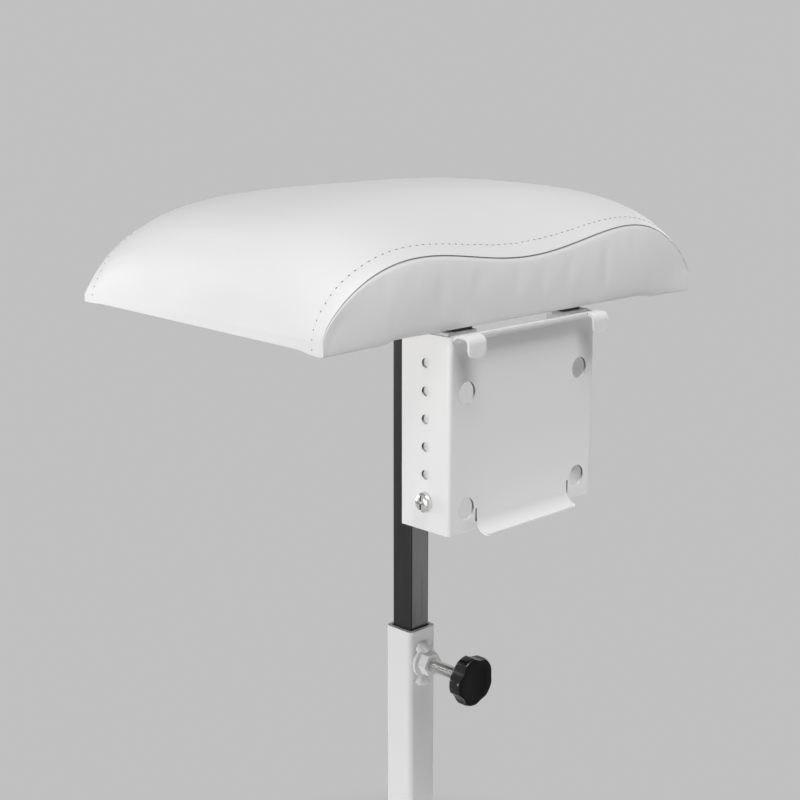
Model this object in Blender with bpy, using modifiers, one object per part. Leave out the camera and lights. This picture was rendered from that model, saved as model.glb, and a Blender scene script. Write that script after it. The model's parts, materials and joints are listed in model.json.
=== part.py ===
"""Pedicure footrest: a wavy leg cushion on a square post that slides in a clamped tube.

Units are metres and +Z is up. The origin is on the floor, on the post's axis. +X runs along the
cushion's long side and -Y points to the front, where the knob and the device bracket are.
"""

import math

import bmesh
import bpy
from mathutils import Vector

# Clearance between faces that touch on the real object
FIT_GAP = 0.0003

# Heights above the floor
OUTER_TUBE_TOP = 0.3227
CUSHION_BOTTOM = 0.590

# Base plate and its rubber feet
BASE_WIDTH = 0.360
BASE_DEPTH = 0.310
BASE_THICKNESS = 0.005
BASE_CORNER = 0.030
FOOT_HEIGHT = 0.008
FOOT_RADIUS = 0.016
FOOT_TAPER = 0.002
FOOT_INSET = 0.035
FOOT_SHELF = 0.004
FOOT_SCREW_RADIUS = 0.0025
FOOT_SCREW_HEAD_RADIUS = 0.0048
FOOT_SCREW_HEAD_HEIGHT = 0.0026
HOLE_CLEARANCE = 0.0004

# Post: two square tubes, one inside the other
OUTER_TUBE_SIDE = 0.0286
OUTER_TUBE_WALL = 0.0033
OUTER_TUBE_CORNER = 0.004
INNER_TUBE_SIDE = 0.0206
INNER_TUBE_WALL = 0.0015
INNER_TUBE_CORNER = 0.0018
INSERTION = 0.0935
WELD_BEAD = 0.0022

# Clamp: nut and washer welded to the outer tube, stud and knob
CLAMP_BELOW_TOP = 0.0273
STUD_RADIUS = 0.005
STUD_CLEARANCE = 0.0003
STUD_CHAMFER = 0.001
WASHER_RADIUS = 0.0125
WASHER_THICKNESS = 0.0025
NUT_FLATS = 0.017
NUT_THICKNESS = 0.008
KNOB_RADIUS = 0.0200
KNOB_THICKNESS = 0.0125
KNOB_BACK_FROM_TUBE = 0.0459
KNOB_FLUTES = 5
KNOB_FLUTE_RADIUS = 0.017
KNOB_FLUTE_DEPTH = 0.0026
KNOB_FLUTE_PHASE = 0.03
KNOB_EDGE = 0.003
KNOB_DISH_RADIUS = 0.0115
KNOB_DISH_DEPTH = 0.0006
KNOB_SOCKET_DEPTH = 0.009
NUT_WELD_WIDTH = 0.0165
NUT_WELD_HEIGHT = 0.011
NUT_WELD_DEPTH = 0.0095
NUT_WELD_PAST_FLAT = 0.0046
NUT_WELD_DROP = 0.0018
NUT_WELD_OUT = 0.0019

# Cushion: footprint, board, cover and the wave of its sewn edge
CUSHION_LENGTH = 0.3906
CUSHION_DEPTH = 0.267
CUSHION_BEHIND_POST = 0.0152
COVER_THICKNESS = 0.0015
HEM_WIDTH = 0.020
END_HEIGHT = 0.010
SEAM_MEAN = 0.0533
SEAM_WAVE = 0.012
SEAM_HALF_WAVE = 0.153
SEAM_SHIFT = 0.0067
SEAM_LEAN = 0.0064
SEAM_END_POWER = 2.25
SEAM_END_ROOT = 0.42
RIDGE_MEAN = 0.086
RIDGE_WAVE = 0.0028
RIDGE_HALF_WAVE = 0.107
RIDGE_LEAN = -0.0043
RIDGE_END_POWER = 8.0
RIDGE_END_ROOT = 0.525
CROWN_POWER = 2.2
SIDE_BULGE = 0.003
SIDE_BULGE_AT = 0.5
COVER_COLUMNS = 22
COVER_ROWS = 12
COLUMN_CROWDING = 1.5
BOARD_THICKNESS = 0.012
BOARD_END_INSET = 0.0085
BOARD_SIDE_INSET = 0.004
BOARD_CORNER = 0.006
FOAM_TOP_GAP = 0.0042
FOAM_SIDE_GAP = 0.0012
FOAM_END_HEIGHT = 0.003
FLAP_OUTER_INSET = 0.001
FLAP_LENGTH = 0.052
FLAP_SIDE_INSET = 0.0003
FLAP_THICKNESS = 0.0034
FLAP_CORNER = 0.004

# Head plate under the board, with two fingers that carry the bracket's hangers
HEAD_THICKNESS = 0.004
HEAD_INSIDE_BRACKET = 0.009
HEAD_BACK = 0.060
HEAD_FRONT = -0.042
FINGER_FRONT = -0.110
FINGER_WIDTH = 0.022
HEAD_CORNER = 0.004
PLATE_SCREW_FROM_EDGE = 0.014
WOOD_SCREW_RADIUS = 0.00225
WOOD_SCREW_HEAD_RADIUS = 0.0043
WOOD_SCREW_HEAD_HEIGHT = 0.0028
WOOD_SCREW_GRIP = 0.010
HANGER_SCREW_PITCH = 0.013

# Device bracket, bent from one sheet
SHEET = 0.0018
BRACKET_WIDTH = 0.158
BRACKET_DEPTH = 0.046
WEB_FRONT = -0.1158
FLANGE_TOP_DROP = 0.0065
LIP_TOP_DROP = 0.005
FLANGE_BEND = 0.0028
HOLE_PITCH = 0.020
HOLE_COUNT = 6
HOLE_MARGIN = 0.0207
FLANGE_HOLE_RADIUS = 0.0035
WEB_HOLE_RADIUS = 0.0082
WEB_HOLE_FROM_EDGE = 0.0177
WEB_HOLE_UPPER_DROP = 0.0475
WEB_HOLE_LOWER_DROP = 0.131
LIP_BEND = 0.005
LIP_REACH = 0.0085
HOOK_FROM_EDGE = 0.0032
HOOK_WIDTH = 0.0172
HOOK_REACH = 0.015
HOOK_BEND = 0.004
HOOK_DROP = 0.0145
HOOK_CORNER = 0.005
SLOT_TOP_DROP = 0.1328
SLOT_FROM_EDGE = 0.0283
SLOT_WIDTH = 0.0014
TONGUE_RADIUS = 0.011
TONGUE_CORNER = 0.003
BEND_STEPS = 5

# Hangers behind the bracket's flanges, and the screws that join them
HANGER_SHEET = 0.002
HANGER_DEPTH = 0.038
HANGER_BEND = 0.0026
HANGER_BELOW_SCREW = 0.013
SIDE_SCREW_RADIUS = 0.003
SIDE_SCREW_HEAD_RADIUS = 0.0072
SIDE_SCREW_HEAD_HEIGHT = 0.0045
SIDE_SCREW_PAST_NUT = 0.002
SIDE_NUT_FLATS = 0.010
SIDE_NUT_THICKNESS = 0.005

# A domed screw head: shares of its radius and of its height, from the top down
SCREW_DOME = ((0, 1), (0.55, 0.94), (0.88, 0.62), (1, 0.2), (1, 0))

# Facets, and the distance at which two points are one
ROUND_STEPS = 24
SCREW_HOLE_STEPS = 12
BOLT_HOLE_STEPS = 16
CORNER_STEPS = 4
SHEET_CORNER_STEPS = 3
FLUTE_STEPS = 6
LAND_STEPS = 4
RIM_STEPS = 2
RIM_ANGLE = math.radians(60)
WELD_SEGMENTS = 14
WELD_RINGS = 9
SAME = 1e-6

# Values that follow from the sizes above
BASE_TOP = FOOT_HEIGHT + FIT_GAP + BASE_THICKNESS
OUTER_TUBE_BOTTOM = BASE_TOP + FIT_GAP
CLAMP_HEIGHT = OUTER_TUBE_TOP - CLAMP_BELOW_TOP
INNER_TUBE_BOTTOM = OUTER_TUBE_TOP - INSERTION
HEAD_TOP = -FIT_GAP
HEAD_UNDERSIDE = HEAD_TOP - HEAD_THICKNESS
INNER_TUBE_TOP = HEAD_UNDERSIDE - FIT_GAP
HANGER_TOP = HEAD_UNDERSIDE - FIT_GAP
HANGER_UNDERSIDE = HANGER_TOP - HANGER_SHEET
BOARD_BOTTOM = COVER_THICKNESS + FIT_GAP
BOARD_TOP = BOARD_BOTTOM + BOARD_THICKNESS
HALF_LENGTH = CUSHION_LENGTH / 2
HALF_DEPTH = CUSHION_DEPTH / 2
HALF_BRACKET = BRACKET_WIDTH / 2
HEAD_HALF_WIDTH = HALF_BRACKET - HEAD_INSIDE_BRACKET
WEB_HOLE_HALF_SPACING = HALF_BRACKET - WEB_HOLE_FROM_EDGE
HOOK_OUTER = HALF_BRACKET - HOOK_FROM_EDGE
SLOT_FROM_MIDDLE = HALF_BRACKET - SLOT_FROM_EDGE
FLANGE_TOP = -FLANGE_TOP_DROP
FLANGE_BOTTOM = FLANGE_TOP - 2 * HOLE_MARGIN - (HOLE_COUNT - 1) * HOLE_PITCH
FLANGE_HOLE_Y = WEB_FRONT + BRACKET_DEPTH / 2
SIDE_SCREW_Z = FLANGE_BOTTOM + HOLE_MARGIN
HANGER_OUTER = HALF_BRACKET - SHEET - FIT_GAP
FINGER_MIDDLE = HEAD_HALF_WIDTH - FINGER_WIDTH / 2


def clear_scene():
    for old in list(bpy.data.objects):
        bpy.data.objects.remove(old, do_unlink=True)
    for old in list(bpy.data.collections):
        bpy.data.collections.remove(old)


def add_collection(name):
    made = bpy.data.collections.new(name)
    bpy.context.scene.collection.children.link(made)
    return made


def add_material(name, colour, roughness, metallic):
    made = bpy.data.materials.new(name)
    made.use_nodes = True
    shader = made.node_tree.nodes["Principled BSDF"]
    shader.inputs["Base Color"].default_value = (*colour, 1.0)
    shader.inputs["Roughness"].default_value = roughness
    shader.inputs["Metallic"].default_value = metallic
    return made


clear_scene()
FOOTREST = add_collection("pedicure_footrest")
CUTTERS = add_collection("cutters")

WHITE_PAINT = add_material("white_paint", (0.80, 0.80, 0.79), 0.42, 0.0)
BLACK_PAINT = add_material("black_paint", (0.02, 0.02, 0.021), 0.38, 0.0)
ZINC = add_material("zinc", (0.62, 0.62, 0.60), 0.30, 1.0)
BLACK_PLASTIC = add_material("black_plastic", (0.012, 0.012, 0.012), 0.35, 0.0)
RUBBER = add_material("black_rubber", (0.03, 0.03, 0.03), 0.75, 0.0)
WHITE_LEATHER = add_material("white_leather", (0.82, 0.82, 0.81), 0.48, 0.0)
FOAM = add_material("foam", (0.85, 0.80, 0.62), 0.90, 0.0)
PLYWOOD = add_material("plywood", (0.62, 0.46, 0.28), 0.65, 0.0)


def add_empty(name, location, rotation=(0.0, 0.0, 0.0)):
    made = bpy.data.objects.new(name, None)
    made.location = location
    made.rotation_euler = rotation
    FOOTREST.objects.link(made)
    return made


BASE = add_empty("base_frame", (0, 0, 0))
SLIDE = add_empty("height_slide_axis", (0, 0, CUSHION_BOTTOM))
# Local +Z of the clamp points out of the tube's front face, and local +Y points up.
CLAMP = add_empty("knob_axis", (0, -OUTER_TUBE_SIDE / 2, CLAMP_HEIGHT), (math.pi / 2, 0, 0))


def add_object(name, data, material, parent, location=(0, 0, 0), rotation=(0, 0, 0)):
    made = bpy.data.objects.new(name, data)
    made.data.materials.append(material)
    made.parent = parent
    made.location = location
    made.rotation_euler = rotation
    FOOTREST.objects.link(made)
    return made


def add_cutter(name, mesh, parent, location=(0, 0, 0), rotation=(0, 0, 0)):
    made = bpy.data.objects.new(name, mesh)
    made.parent = parent
    made.location = location
    made.rotation_euler = rotation
    made.hide_render = True
    made.display_type = "WIRE"
    CUTTERS.objects.link(made)
    return made


def cut(target, cutter):
    boolean = target.modifiers.new("cut_" + cutter.name, "BOOLEAN")
    boolean.operation = "DIFFERENCE"
    boolean.solver = "EXACT"
    boolean.object = cutter


def mesh_from(bm, name):
    mesh = bpy.data.meshes.new(name)
    bm.to_mesh(mesh)
    bm.free()
    return mesh


def arc(centre, radius, start, end, steps):
    """Points on an arc, from the start angle to the end angle, both included."""
    points = []
    for step in range(steps + 1):
        angle = start + (end - start) * step / steps
        points.append((centre[0] + radius * math.cos(angle), centre[1] + radius * math.sin(angle)))
    return points


def circle(centre, radius, steps=ROUND_STEPS):
    return arc(centre, radius, 0, 2 * math.pi, steps)[:-1]


def rounded_rectangle(low, high, corner, steps=CORNER_STEPS):
    (x0, y0), (x1, y1) = low, high
    quarter = math.pi / 2
    points = arc((x1 - corner, y1 - corner), corner, 0, quarter, steps)
    points += arc((x0 + corner, y1 - corner), corner, quarter, 2 * quarter, steps)
    points += arc((x0 + corner, y0 + corner), corner, 2 * quarter, 3 * quarter, steps)
    points += arc((x1 - corner, y0 + corner), corner, 3 * quarter, 4 * quarter, steps)
    return points


def square(side, corner):
    half = side / 2
    return rounded_rectangle((-half, -half), (half, half), corner)


def hexagon(flats):
    return circle((0, 0), flats / math.sqrt(3), 6)


def add_outline(name, outlines, bottom, thickness, material, parent, **place):
    """A flat piece: 2D outlines, the first outside and the others as holes, thickened upwards."""
    curve = bpy.data.curves.new(name, "CURVE")
    curve.dimensions = "2D"
    curve.fill_mode = "BOTH"
    curve.extrude = thickness / 2
    for points in outlines:
        spline = curve.splines.new("POLY")
        spline.points.add(len(points) - 1)
        for point, (x, y) in zip(spline.points, points):
            point.co = (x, y, bottom + thickness / 2, 1)
        spline.use_cyclic_u = True
    return as_mesh(add_object(name, curve, material, parent, **place), bottom + thickness / 2)


def as_mesh(curve_object, lift):
    """The same piece as a mesh with its caps welded on, so that it can be cut and bevelled."""
    name = curve_object.name
    material = curve_object.data.materials[0]
    parent = curve_object.parent
    location = curve_object.location.copy()
    rotation = curve_object.rotation_euler.copy()
    bpy.context.view_layer.update()
    graph = bpy.context.evaluated_depsgraph_get()
    mesh = bpy.data.meshes.new_from_object(curve_object.evaluated_get(graph))
    curve = curve_object.data
    bpy.data.objects.remove(curve_object, do_unlink=True)
    bpy.data.curves.remove(curve)
    bm = bmesh.new()
    bm.from_mesh(mesh)
    bmesh.ops.remove_doubles(bm, verts=bm.verts, dist=SAME)
    middle = sum((vertex.co.z for vertex in bm.verts)) / len(bm.verts)
    bmesh.ops.translate(bm, vec=(0, 0, lift - middle), verts=bm.verts)
    bm.to_mesh(mesh)
    bm.free()
    mesh.materials.clear()
    mesh.name = name
    return add_object(name, mesh, material, parent, location, rotation)


def add_turned(name, profile, material, parent, closed=False, **place):
    """A round piece about local Z. The profile holds (radius, height), from top to bottom."""
    bm = bmesh.new()
    points = [bm.verts.new((radius, 0, height)) for radius, height in profile]
    for first, second in zip(points, points[1:]):
        bm.edges.new((first, second))
    if closed:
        bm.edges.new((points[-1], points[0]))
    turned = add_object(name, mesh_from(bm, name), material, parent, **place)
    screw = turned.modifiers.new("turn", "SCREW")
    screw.axis = "Z"
    screw.steps = ROUND_STEPS
    screw.render_steps = ROUND_STEPS
    screw.use_merge_vertices = True
    screw.merge_threshold = 10 * SAME
    screw.use_smooth_shade = True
    return turned


def add_bead(name, side, corner, height, material, parent):
    """A weld bead: a round rope laid about a square tube, at this height of its centre."""
    curve = bpy.data.curves.new(name, "CURVE")
    curve.dimensions = "3D"
    curve.bevel_depth = WELD_BEAD
    curve.bevel_resolution = 1
    centre_line = square(side + 2 * (WELD_BEAD + FIT_GAP), corner + WELD_BEAD)
    spline = curve.splines.new("POLY")
    spline.points.add(len(centre_line) - 1)
    for point, (x, y) in zip(spline.points, centre_line):
        point.co = (x, y, height, 1)
    spline.use_cyclic_u = True
    return add_object(name, curve, material, parent)


def cylinder_mesh(name, radius, length, segments=ROUND_STEPS):
    """A closed cylinder about local Z, centred on the origin."""
    bm = bmesh.new()
    bmesh.ops.create_cone(
        bm, cap_ends=True, segments=segments, radius1=radius, radius2=radius, depth=length
    )
    return mesh_from(bm, name)


def pan_screw_profile(head_radius, head_height, shank_radius, length):
    """A domed screw whose head rests on height 0 and whose shank points down."""
    head = [(head_radius * out, head_height * up) for out, up in SCREW_DOME]
    return head + [(shank_radius, 0), (shank_radius, -length), (0, -length)]


def make_base():
    holes = [(BASE_WIDTH / 2 - FOOT_INSET, BASE_DEPTH / 2 - FOOT_INSET)]
    holes += [(-x, y) for x, y in holes]
    holes += [(x, -y) for x, y in holes]
    low = (-BASE_WIDTH / 2, -BASE_DEPTH / 2)
    high = (BASE_WIDTH / 2, BASE_DEPTH / 2)
    outlines = [rounded_rectangle(low, high, BASE_CORNER, 2 * CORNER_STEPS)]
    outlines += [circle(hole, FOOT_SCREW_RADIUS + HOLE_CLEARANCE, SCREW_HOLE_STEPS) for hole in holes]
    add_outline("base_plate", outlines, BASE_TOP - BASE_THICKNESS, BASE_THICKNESS, WHITE_PAINT, BASE)
    shank = FOOT_SCREW_RADIUS + HOLE_CLEARANCE
    pocket = FOOT_SCREW_HEAD_RADIUS + HOLE_CLEARANCE
    foot = [
        (shank, FOOT_HEIGHT),
        (FOOT_RADIUS, FOOT_HEIGHT),
        (FOOT_RADIUS, FOOT_HEIGHT - FOOT_TAPER),
        (FOOT_RADIUS - FOOT_TAPER, 0),
        (pocket, 0),
        (pocket, FOOT_SHELF),
        (shank, FOOT_SHELF),
    ]
    length = BASE_TOP - FOOT_SHELF - FIT_GAP
    screw = pan_screw_profile(FOOT_SCREW_HEAD_RADIUS, FOOT_SCREW_HEAD_HEIGHT, FOOT_SCREW_RADIUS, length)
    for number, (x, y) in enumerate(holes, 1):
        add_turned(f"foot_{number}", foot, RUBBER, BASE, closed=True, location=(x, y, 0))
        seat = (x, y, FOOT_SHELF - FIT_GAP)
        add_turned(f"foot_screw_{number}", screw, ZINC, BASE, location=seat, rotation=(math.pi, 0, 0))


def make_outer_tube():
    outer = square(OUTER_TUBE_SIDE, OUTER_TUBE_CORNER)
    bore = square(OUTER_TUBE_SIDE - 2 * OUTER_TUBE_WALL, OUTER_TUBE_CORNER / 2)
    height = OUTER_TUBE_TOP - OUTER_TUBE_BOTTOM
    tube = add_outline("outer_tube", [outer, bore], OUTER_TUBE_BOTTOM, height, WHITE_PAINT, BASE)
    hole = cylinder_mesh("clamp_hole", STUD_RADIUS + STUD_CLEARANCE, 4 * OUTER_TUBE_WALL)
    cut(tube, add_cutter("clamp_hole", hole, CLAMP))
    add_bead(
        "foot_weld", OUTER_TUBE_SIDE, OUTER_TUBE_CORNER, BASE_TOP + FIT_GAP + WELD_BEAD, WHITE_PAINT, BASE
    )


def make_clamp():
    stud_hole = circle((0, 0), STUD_RADIUS + STUD_CLEARANCE)
    washer = [circle((0, 0), WASHER_RADIUS), stud_hole]
    add_outline("clamp_washer", washer, FIT_GAP, WASHER_THICKNESS, WHITE_PAINT, CLAMP)
    nut_bottom = WASHER_THICKNESS + 2 * FIT_GAP
    add_outline("clamp_nut", [hexagon(NUT_FLATS), stud_hole], nut_bottom, NUT_THICKNESS, WHITE_PAINT, CLAMP)
    washer_room = cylinder_mesh(
        "washer_room", WASHER_RADIUS + FIT_GAP, 2 * (WASHER_THICKNESS + 2 * FIT_GAP)
    )
    nut_room = cylinder_mesh(
        "nut_room", (NUT_FLATS + 2 * FIT_GAP) / math.sqrt(3), 4 * (nut_bottom + NUT_THICKNESS), 6
    )
    rooms = [add_cutter("washer_room", washer_room, CLAMP)]
    rooms.append(add_cutter("nut_room", nut_room, CLAMP, rotation=(0, 0, math.pi / 6)))
    for name, side in (("nut_weld_upper", 1), ("nut_weld_lower", -1)):
        bm = bmesh.new()
        bmesh.ops.create_uvsphere(bm, u_segments=WELD_SEGMENTS, v_segments=WELD_RINGS, radius=0.5)
        size = (NUT_WELD_WIDTH, NUT_WELD_HEIGHT, NUT_WELD_DEPTH)
        bmesh.ops.scale(bm, vec=size, verts=bm.verts)
        height = side * (NUT_FLATS / 2 + NUT_WELD_PAST_FLAT) - NUT_WELD_DROP
        bmesh.ops.translate(bm, vec=(0, height, NUT_WELD_OUT), verts=bm.verts)
        geometry = bm.verts[:] + bm.edges[:] + bm.faces[:]
        bmesh.ops.bisect_plane(
            bm, geom=geometry, plane_co=(0, 0, FIT_GAP), plane_no=(0, 0, -1), clear_outer=True
        )
        bmesh.ops.holes_fill(bm, edges=[edge for edge in bm.edges if edge.is_boundary])
        blob = add_object(name, mesh_from(bm, name), WHITE_PAINT, CLAMP)
        for room in rooms:
            cut(blob, room)
    inner_face = -(OUTER_TUBE_SIDE - INNER_TUBE_SIDE) / 2
    stud_tip = inner_face + FIT_GAP
    stud_end = KNOB_BACK_FROM_TUBE + KNOB_SOCKET_DEPTH - FIT_GAP
    stud = [
        (0, stud_end),
        (STUD_RADIUS, stud_end),
        (STUD_RADIUS, stud_tip + STUD_CHAMFER),
        (STUD_RADIUS - STUD_CHAMFER, stud_tip),
        (0, stud_tip),
    ]
    add_turned("clamp_stud", stud, ZINC, CLAMP)
    make_knob()


def knob_outline():
    """A circle with round flutes cut into its rim."""
    flute_centre = KNOB_RADIUS - KNOB_FLUTE_DEPTH + KNOB_FLUTE_RADIUS
    cosine = (KNOB_RADIUS**2 + flute_centre**2 - KNOB_FLUTE_RADIUS**2) / (2 * KNOB_RADIUS * flute_centre)
    half = math.acos(cosine)
    reach = math.atan2(KNOB_RADIUS * math.sin(half), flute_centre - KNOB_RADIUS * math.cos(half))
    points = []
    turn = 2 * math.pi / KNOB_FLUTES
    for flute in range(KNOB_FLUTES):
        angle = turn * (flute + KNOB_FLUTE_PHASE)
        centre = (flute_centre * math.cos(angle), flute_centre * math.sin(angle))
        back = angle + math.pi
        points += arc(centre, KNOB_FLUTE_RADIUS, back + reach, back - reach, FLUTE_STEPS)
        points += arc((0, 0), KNOB_RADIUS, angle + half, angle + turn - half, LAND_STEPS)[1:-1]
    return points


def make_knob():
    knob = add_outline(
        "clamp_knob", [knob_outline()], KNOB_BACK_FROM_TUBE, KNOB_THICKNESS, BLACK_PLASTIC, CLAMP
    )
    bevel = knob.modifiers.new("rim", "BEVEL")
    bevel.width = KNOB_EDGE
    bevel.segments = RIM_STEPS
    bevel.limit_method = "ANGLE"
    bevel.angle_limit = RIM_ANGLE
    socket_length = 2 * KNOB_SOCKET_DEPTH
    socket = cylinder_mesh("knob_socket", STUD_RADIUS + FIT_GAP, socket_length)
    cut(knob, add_cutter("knob_socket", socket, CLAMP, (0, 0, KNOB_BACK_FROM_TUBE)))
    dish = cylinder_mesh("knob_dish", KNOB_DISH_RADIUS, 2 * KNOB_DISH_DEPTH)
    cut(knob, add_cutter("knob_dish", dish, CLAMP, (0, 0, KNOB_BACK_FROM_TUBE + KNOB_THICKNESS)))


def make_post_head():
    outer = square(INNER_TUBE_SIDE, INNER_TUBE_CORNER)
    bore = square(INNER_TUBE_SIDE - 2 * INNER_TUBE_WALL, INNER_TUBE_CORNER / 2)
    bottom = INNER_TUBE_BOTTOM - CUSHION_BOTTOM
    add_outline("inner_tube", [outer, bore], bottom, INNER_TUBE_TOP - bottom, BLACK_PAINT, SLIDE)
    bead_height = HEAD_UNDERSIDE - FIT_GAP - WELD_BEAD
    add_bead("head_weld", INNER_TUBE_SIDE, INNER_TUBE_CORNER, bead_height, BLACK_PAINT, SLIDE)
    finger_inner = HEAD_HALF_WIDTH - FINGER_WIDTH
    corner = HEAD_CORNER
    half = math.pi / 2
    outline = arc((HEAD_HALF_WIDTH - corner, HEAD_BACK - corner), corner, 0, half, CORNER_STEPS)
    outline += [(-x, y) for x, y in reversed(outline)]
    outline += arc((-HEAD_HALF_WIDTH + corner, FINGER_FRONT + corner), corner, 2 * half, 3 * half, CORNER_STEPS)
    outline += arc((-finger_inner - corner, FINGER_FRONT + corner), corner, 3 * half, 4 * half, CORNER_STEPS)
    outline += arc((-finger_inner + corner, HEAD_FRONT - corner), corner, 2 * half, half, CORNER_STEPS)
    front = outline[2 * (CORNER_STEPS + 1):]
    outline += [(-x, y) for x, y in reversed(front)]
    screw_hole = WOOD_SCREW_RADIUS + HOLE_CLEARANCE
    holes = hanger_screw_places() + plate_screw_places()
    outlines = [outline] + [circle(hole, screw_hole, SCREW_HOLE_STEPS) for hole in holes]
    add_outline("head_plate", outlines, HEAD_UNDERSIDE, HEAD_THICKNESS, BLACK_PAINT, SLIDE)


def hanger_screw_places():
    middle = FLANGE_HOLE_Y + HANGER_SCREW_PITCH / 2
    places = []
    for side in (-1, 1):
        for end in (-1, 1):
            places.append((side * FINGER_MIDDLE, middle + end * HANGER_SCREW_PITCH / 2))
    return places


def plate_screw_places():
    x = HEAD_HALF_WIDTH - PLATE_SCREW_FROM_EDGE
    y = HEAD_BACK - PLATE_SCREW_FROM_EDGE
    return [(-x, y), (x, y)]


def make_wood_screws():
    tip = BOARD_BOTTOM + WOOD_SCREW_GRIP
    sets = (
        ("hanger_screw", hanger_screw_places(), HANGER_UNDERSIDE - FIT_GAP),
        ("plate_screw", plate_screw_places(), HEAD_UNDERSIDE - FIT_GAP),
    )
    for name, places, seat in sets:
        profile = pan_screw_profile(
            WOOD_SCREW_HEAD_RADIUS, WOOD_SCREW_HEAD_HEIGHT, WOOD_SCREW_RADIUS, tip - seat
        )
        for number, (x, y) in enumerate(places, 1):
            place = {"location": (x, y, seat), "rotation": (math.pi, 0, 0)}
            add_turned(f"{name}_{number}", profile, ZINC, SLIDE, **place)


def cushion_height(x, across):
    """Height of the cushion's top at x. across runs from -1 at the front seam to 1 at the back seam."""
    lean = max(-1.0, min(1.0, x / HALF_LENGTH))
    seam = SEAM_MEAN + SEAM_LEAN * lean - SEAM_WAVE * math.cos(math.pi * (x - SEAM_SHIFT) / SEAM_HALF_WAVE)
    seam = max(seam * (1 - abs(lean) ** SEAM_END_POWER) ** SEAM_END_ROOT, END_HEIGHT)
    ridge = RIDGE_MEAN + RIDGE_LEAN * lean + RIDGE_WAVE * math.cos(math.pi * x / RIDGE_HALF_WAVE)
    ridge = max(ridge * (1 - abs(lean) ** RIDGE_END_POWER) ** RIDGE_END_ROOT, seam)
    return seam + (ridge - seam) * (1 - abs(across) ** CROWN_POWER)


def cushion_top(bm, end_inset, side_inset, drop, least):
    """A grid over the cushion's top, finer towards its rim, drawn in and down from the cover by these sizes."""
    bmesh.ops.create_grid(bm, x_segments=COVER_COLUMNS, y_segments=COVER_ROWS, size=1)
    for vertex in bm.verts:
        along = math.copysign(1 - (1 - abs(vertex.co.x)) ** COLUMN_CROWDING, vertex.co.x)
        across = math.sin(vertex.co.y * math.pi / 2)
        height = max(cushion_height(along * HALF_LENGTH, across) - drop, least)
        x = along * (HALF_LENGTH - end_inset)
        y = CUSHION_BEHIND_POST + across * (HALF_DEPTH - side_inset)
        vertex.co = (x, y, height)


def extrude_rim(bm):
    rim = [edge for edge in bm.edges if edge.is_boundary]
    made = bmesh.ops.extrude_edge_only(bm, edges=rim)["geom"]
    return [item for item in made if isinstance(item, bmesh.types.BMVert)]


def make_cover():
    bm = bmesh.new()
    cushion_top(bm, 0, 0, 0, END_HEIGHT)
    for vertex in extrude_rim(bm):
        side = math.copysign(1, vertex.co.y - CUSHION_BEHIND_POST)
        on_side = abs(vertex.co.y - CUSHION_BEHIND_POST) > HALF_DEPTH - FIT_GAP
        bulge = SIDE_BULGE * min(1, (vertex.co.z - END_HEIGHT) / SEAM_MEAN) if on_side else 0
        vertex.co.y += side * bulge
        vertex.co.z *= SIDE_BULGE_AT
    for vertex in extrude_rim(bm):
        across = vertex.co.y - CUSHION_BEHIND_POST
        vertex.co.y = CUSHION_BEHIND_POST + max(-HALF_DEPTH, min(HALF_DEPTH, across))
        vertex.co.z = 0
    for vertex in extrude_rim(bm):
        across = vertex.co.y - CUSHION_BEHIND_POST
        vertex.co.x = max(-HALF_LENGTH + HEM_WIDTH, min(HALF_LENGTH - HEM_WIDTH, vertex.co.x))
        limit = HALF_DEPTH - HEM_WIDTH
        vertex.co.y = CUSHION_BEHIND_POST + max(-limit, min(limit, across))
    bmesh.ops.remove_doubles(bm, verts=bm.verts, dist=SAME)
    bmesh.ops.recalc_face_normals(bm, faces=bm.faces)
    cover = add_object("cover", mesh_from(bm, "cover"), WHITE_LEATHER, SLIDE)
    cover.data.shade_smooth()
    shell = cover.modifiers.new("leather", "SOLIDIFY")
    shell.thickness = COVER_THICKNESS
    shell.offset = -1
    shell.use_even_offset = True


def make_board_and_foam():
    low = (-HALF_LENGTH + BOARD_END_INSET, CUSHION_BEHIND_POST - HALF_DEPTH + BOARD_SIDE_INSET)
    high = (-low[0], CUSHION_BEHIND_POST + HALF_DEPTH - BOARD_SIDE_INSET)
    outlines = [rounded_rectangle(low, high, BOARD_CORNER)]
    pilot = WOOD_SCREW_RADIUS + HOLE_CLEARANCE
    holes = hanger_screw_places() + plate_screw_places()
    outlines += [circle(hole, pilot, SCREW_HOLE_STEPS) for hole in holes]
    add_outline("board", outlines, BOARD_BOTTOM, BOARD_THICKNESS, PLYWOOD, SLIDE)
    bm = bmesh.new()
    foam_bottom = BOARD_TOP + FIT_GAP
    side_inset = COVER_THICKNESS + FOAM_SIDE_GAP
    cushion_top(bm, BOARD_END_INSET, side_inset, FOAM_TOP_GAP, foam_bottom + FOAM_END_HEIGHT)
    for vertex in extrude_rim(bm):
        vertex.co.z = foam_bottom
    bmesh.ops.holes_fill(bm, edges=[edge for edge in bm.edges if edge.is_boundary])
    bmesh.ops.recalc_face_normals(bm, faces=bm.faces)
    add_object("foam_core", mesh_from(bm, "foam_core"), FOAM, SLIDE)


def make_end_flaps():
    front = CUSHION_BEHIND_POST - HALF_DEPTH + FLAP_SIDE_INSET
    back = CUSHION_BEHIND_POST + HALF_DEPTH - FLAP_SIDE_INSET
    outer = HALF_LENGTH - FLAP_OUTER_INSET
    for name, side in (("end_flap_left", -1), ("end_flap_right", 1)):
        ends = sorted((side * outer, side * (outer - FLAP_LENGTH)))
        outline = rounded_rectangle((ends[0], front), (ends[1], back), FLAP_CORNER)
        add_outline(name, [outline], -FIT_GAP - FLAP_THICKNESS, FLAP_THICKNESS, WHITE_LEATHER, SLIDE)


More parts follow.
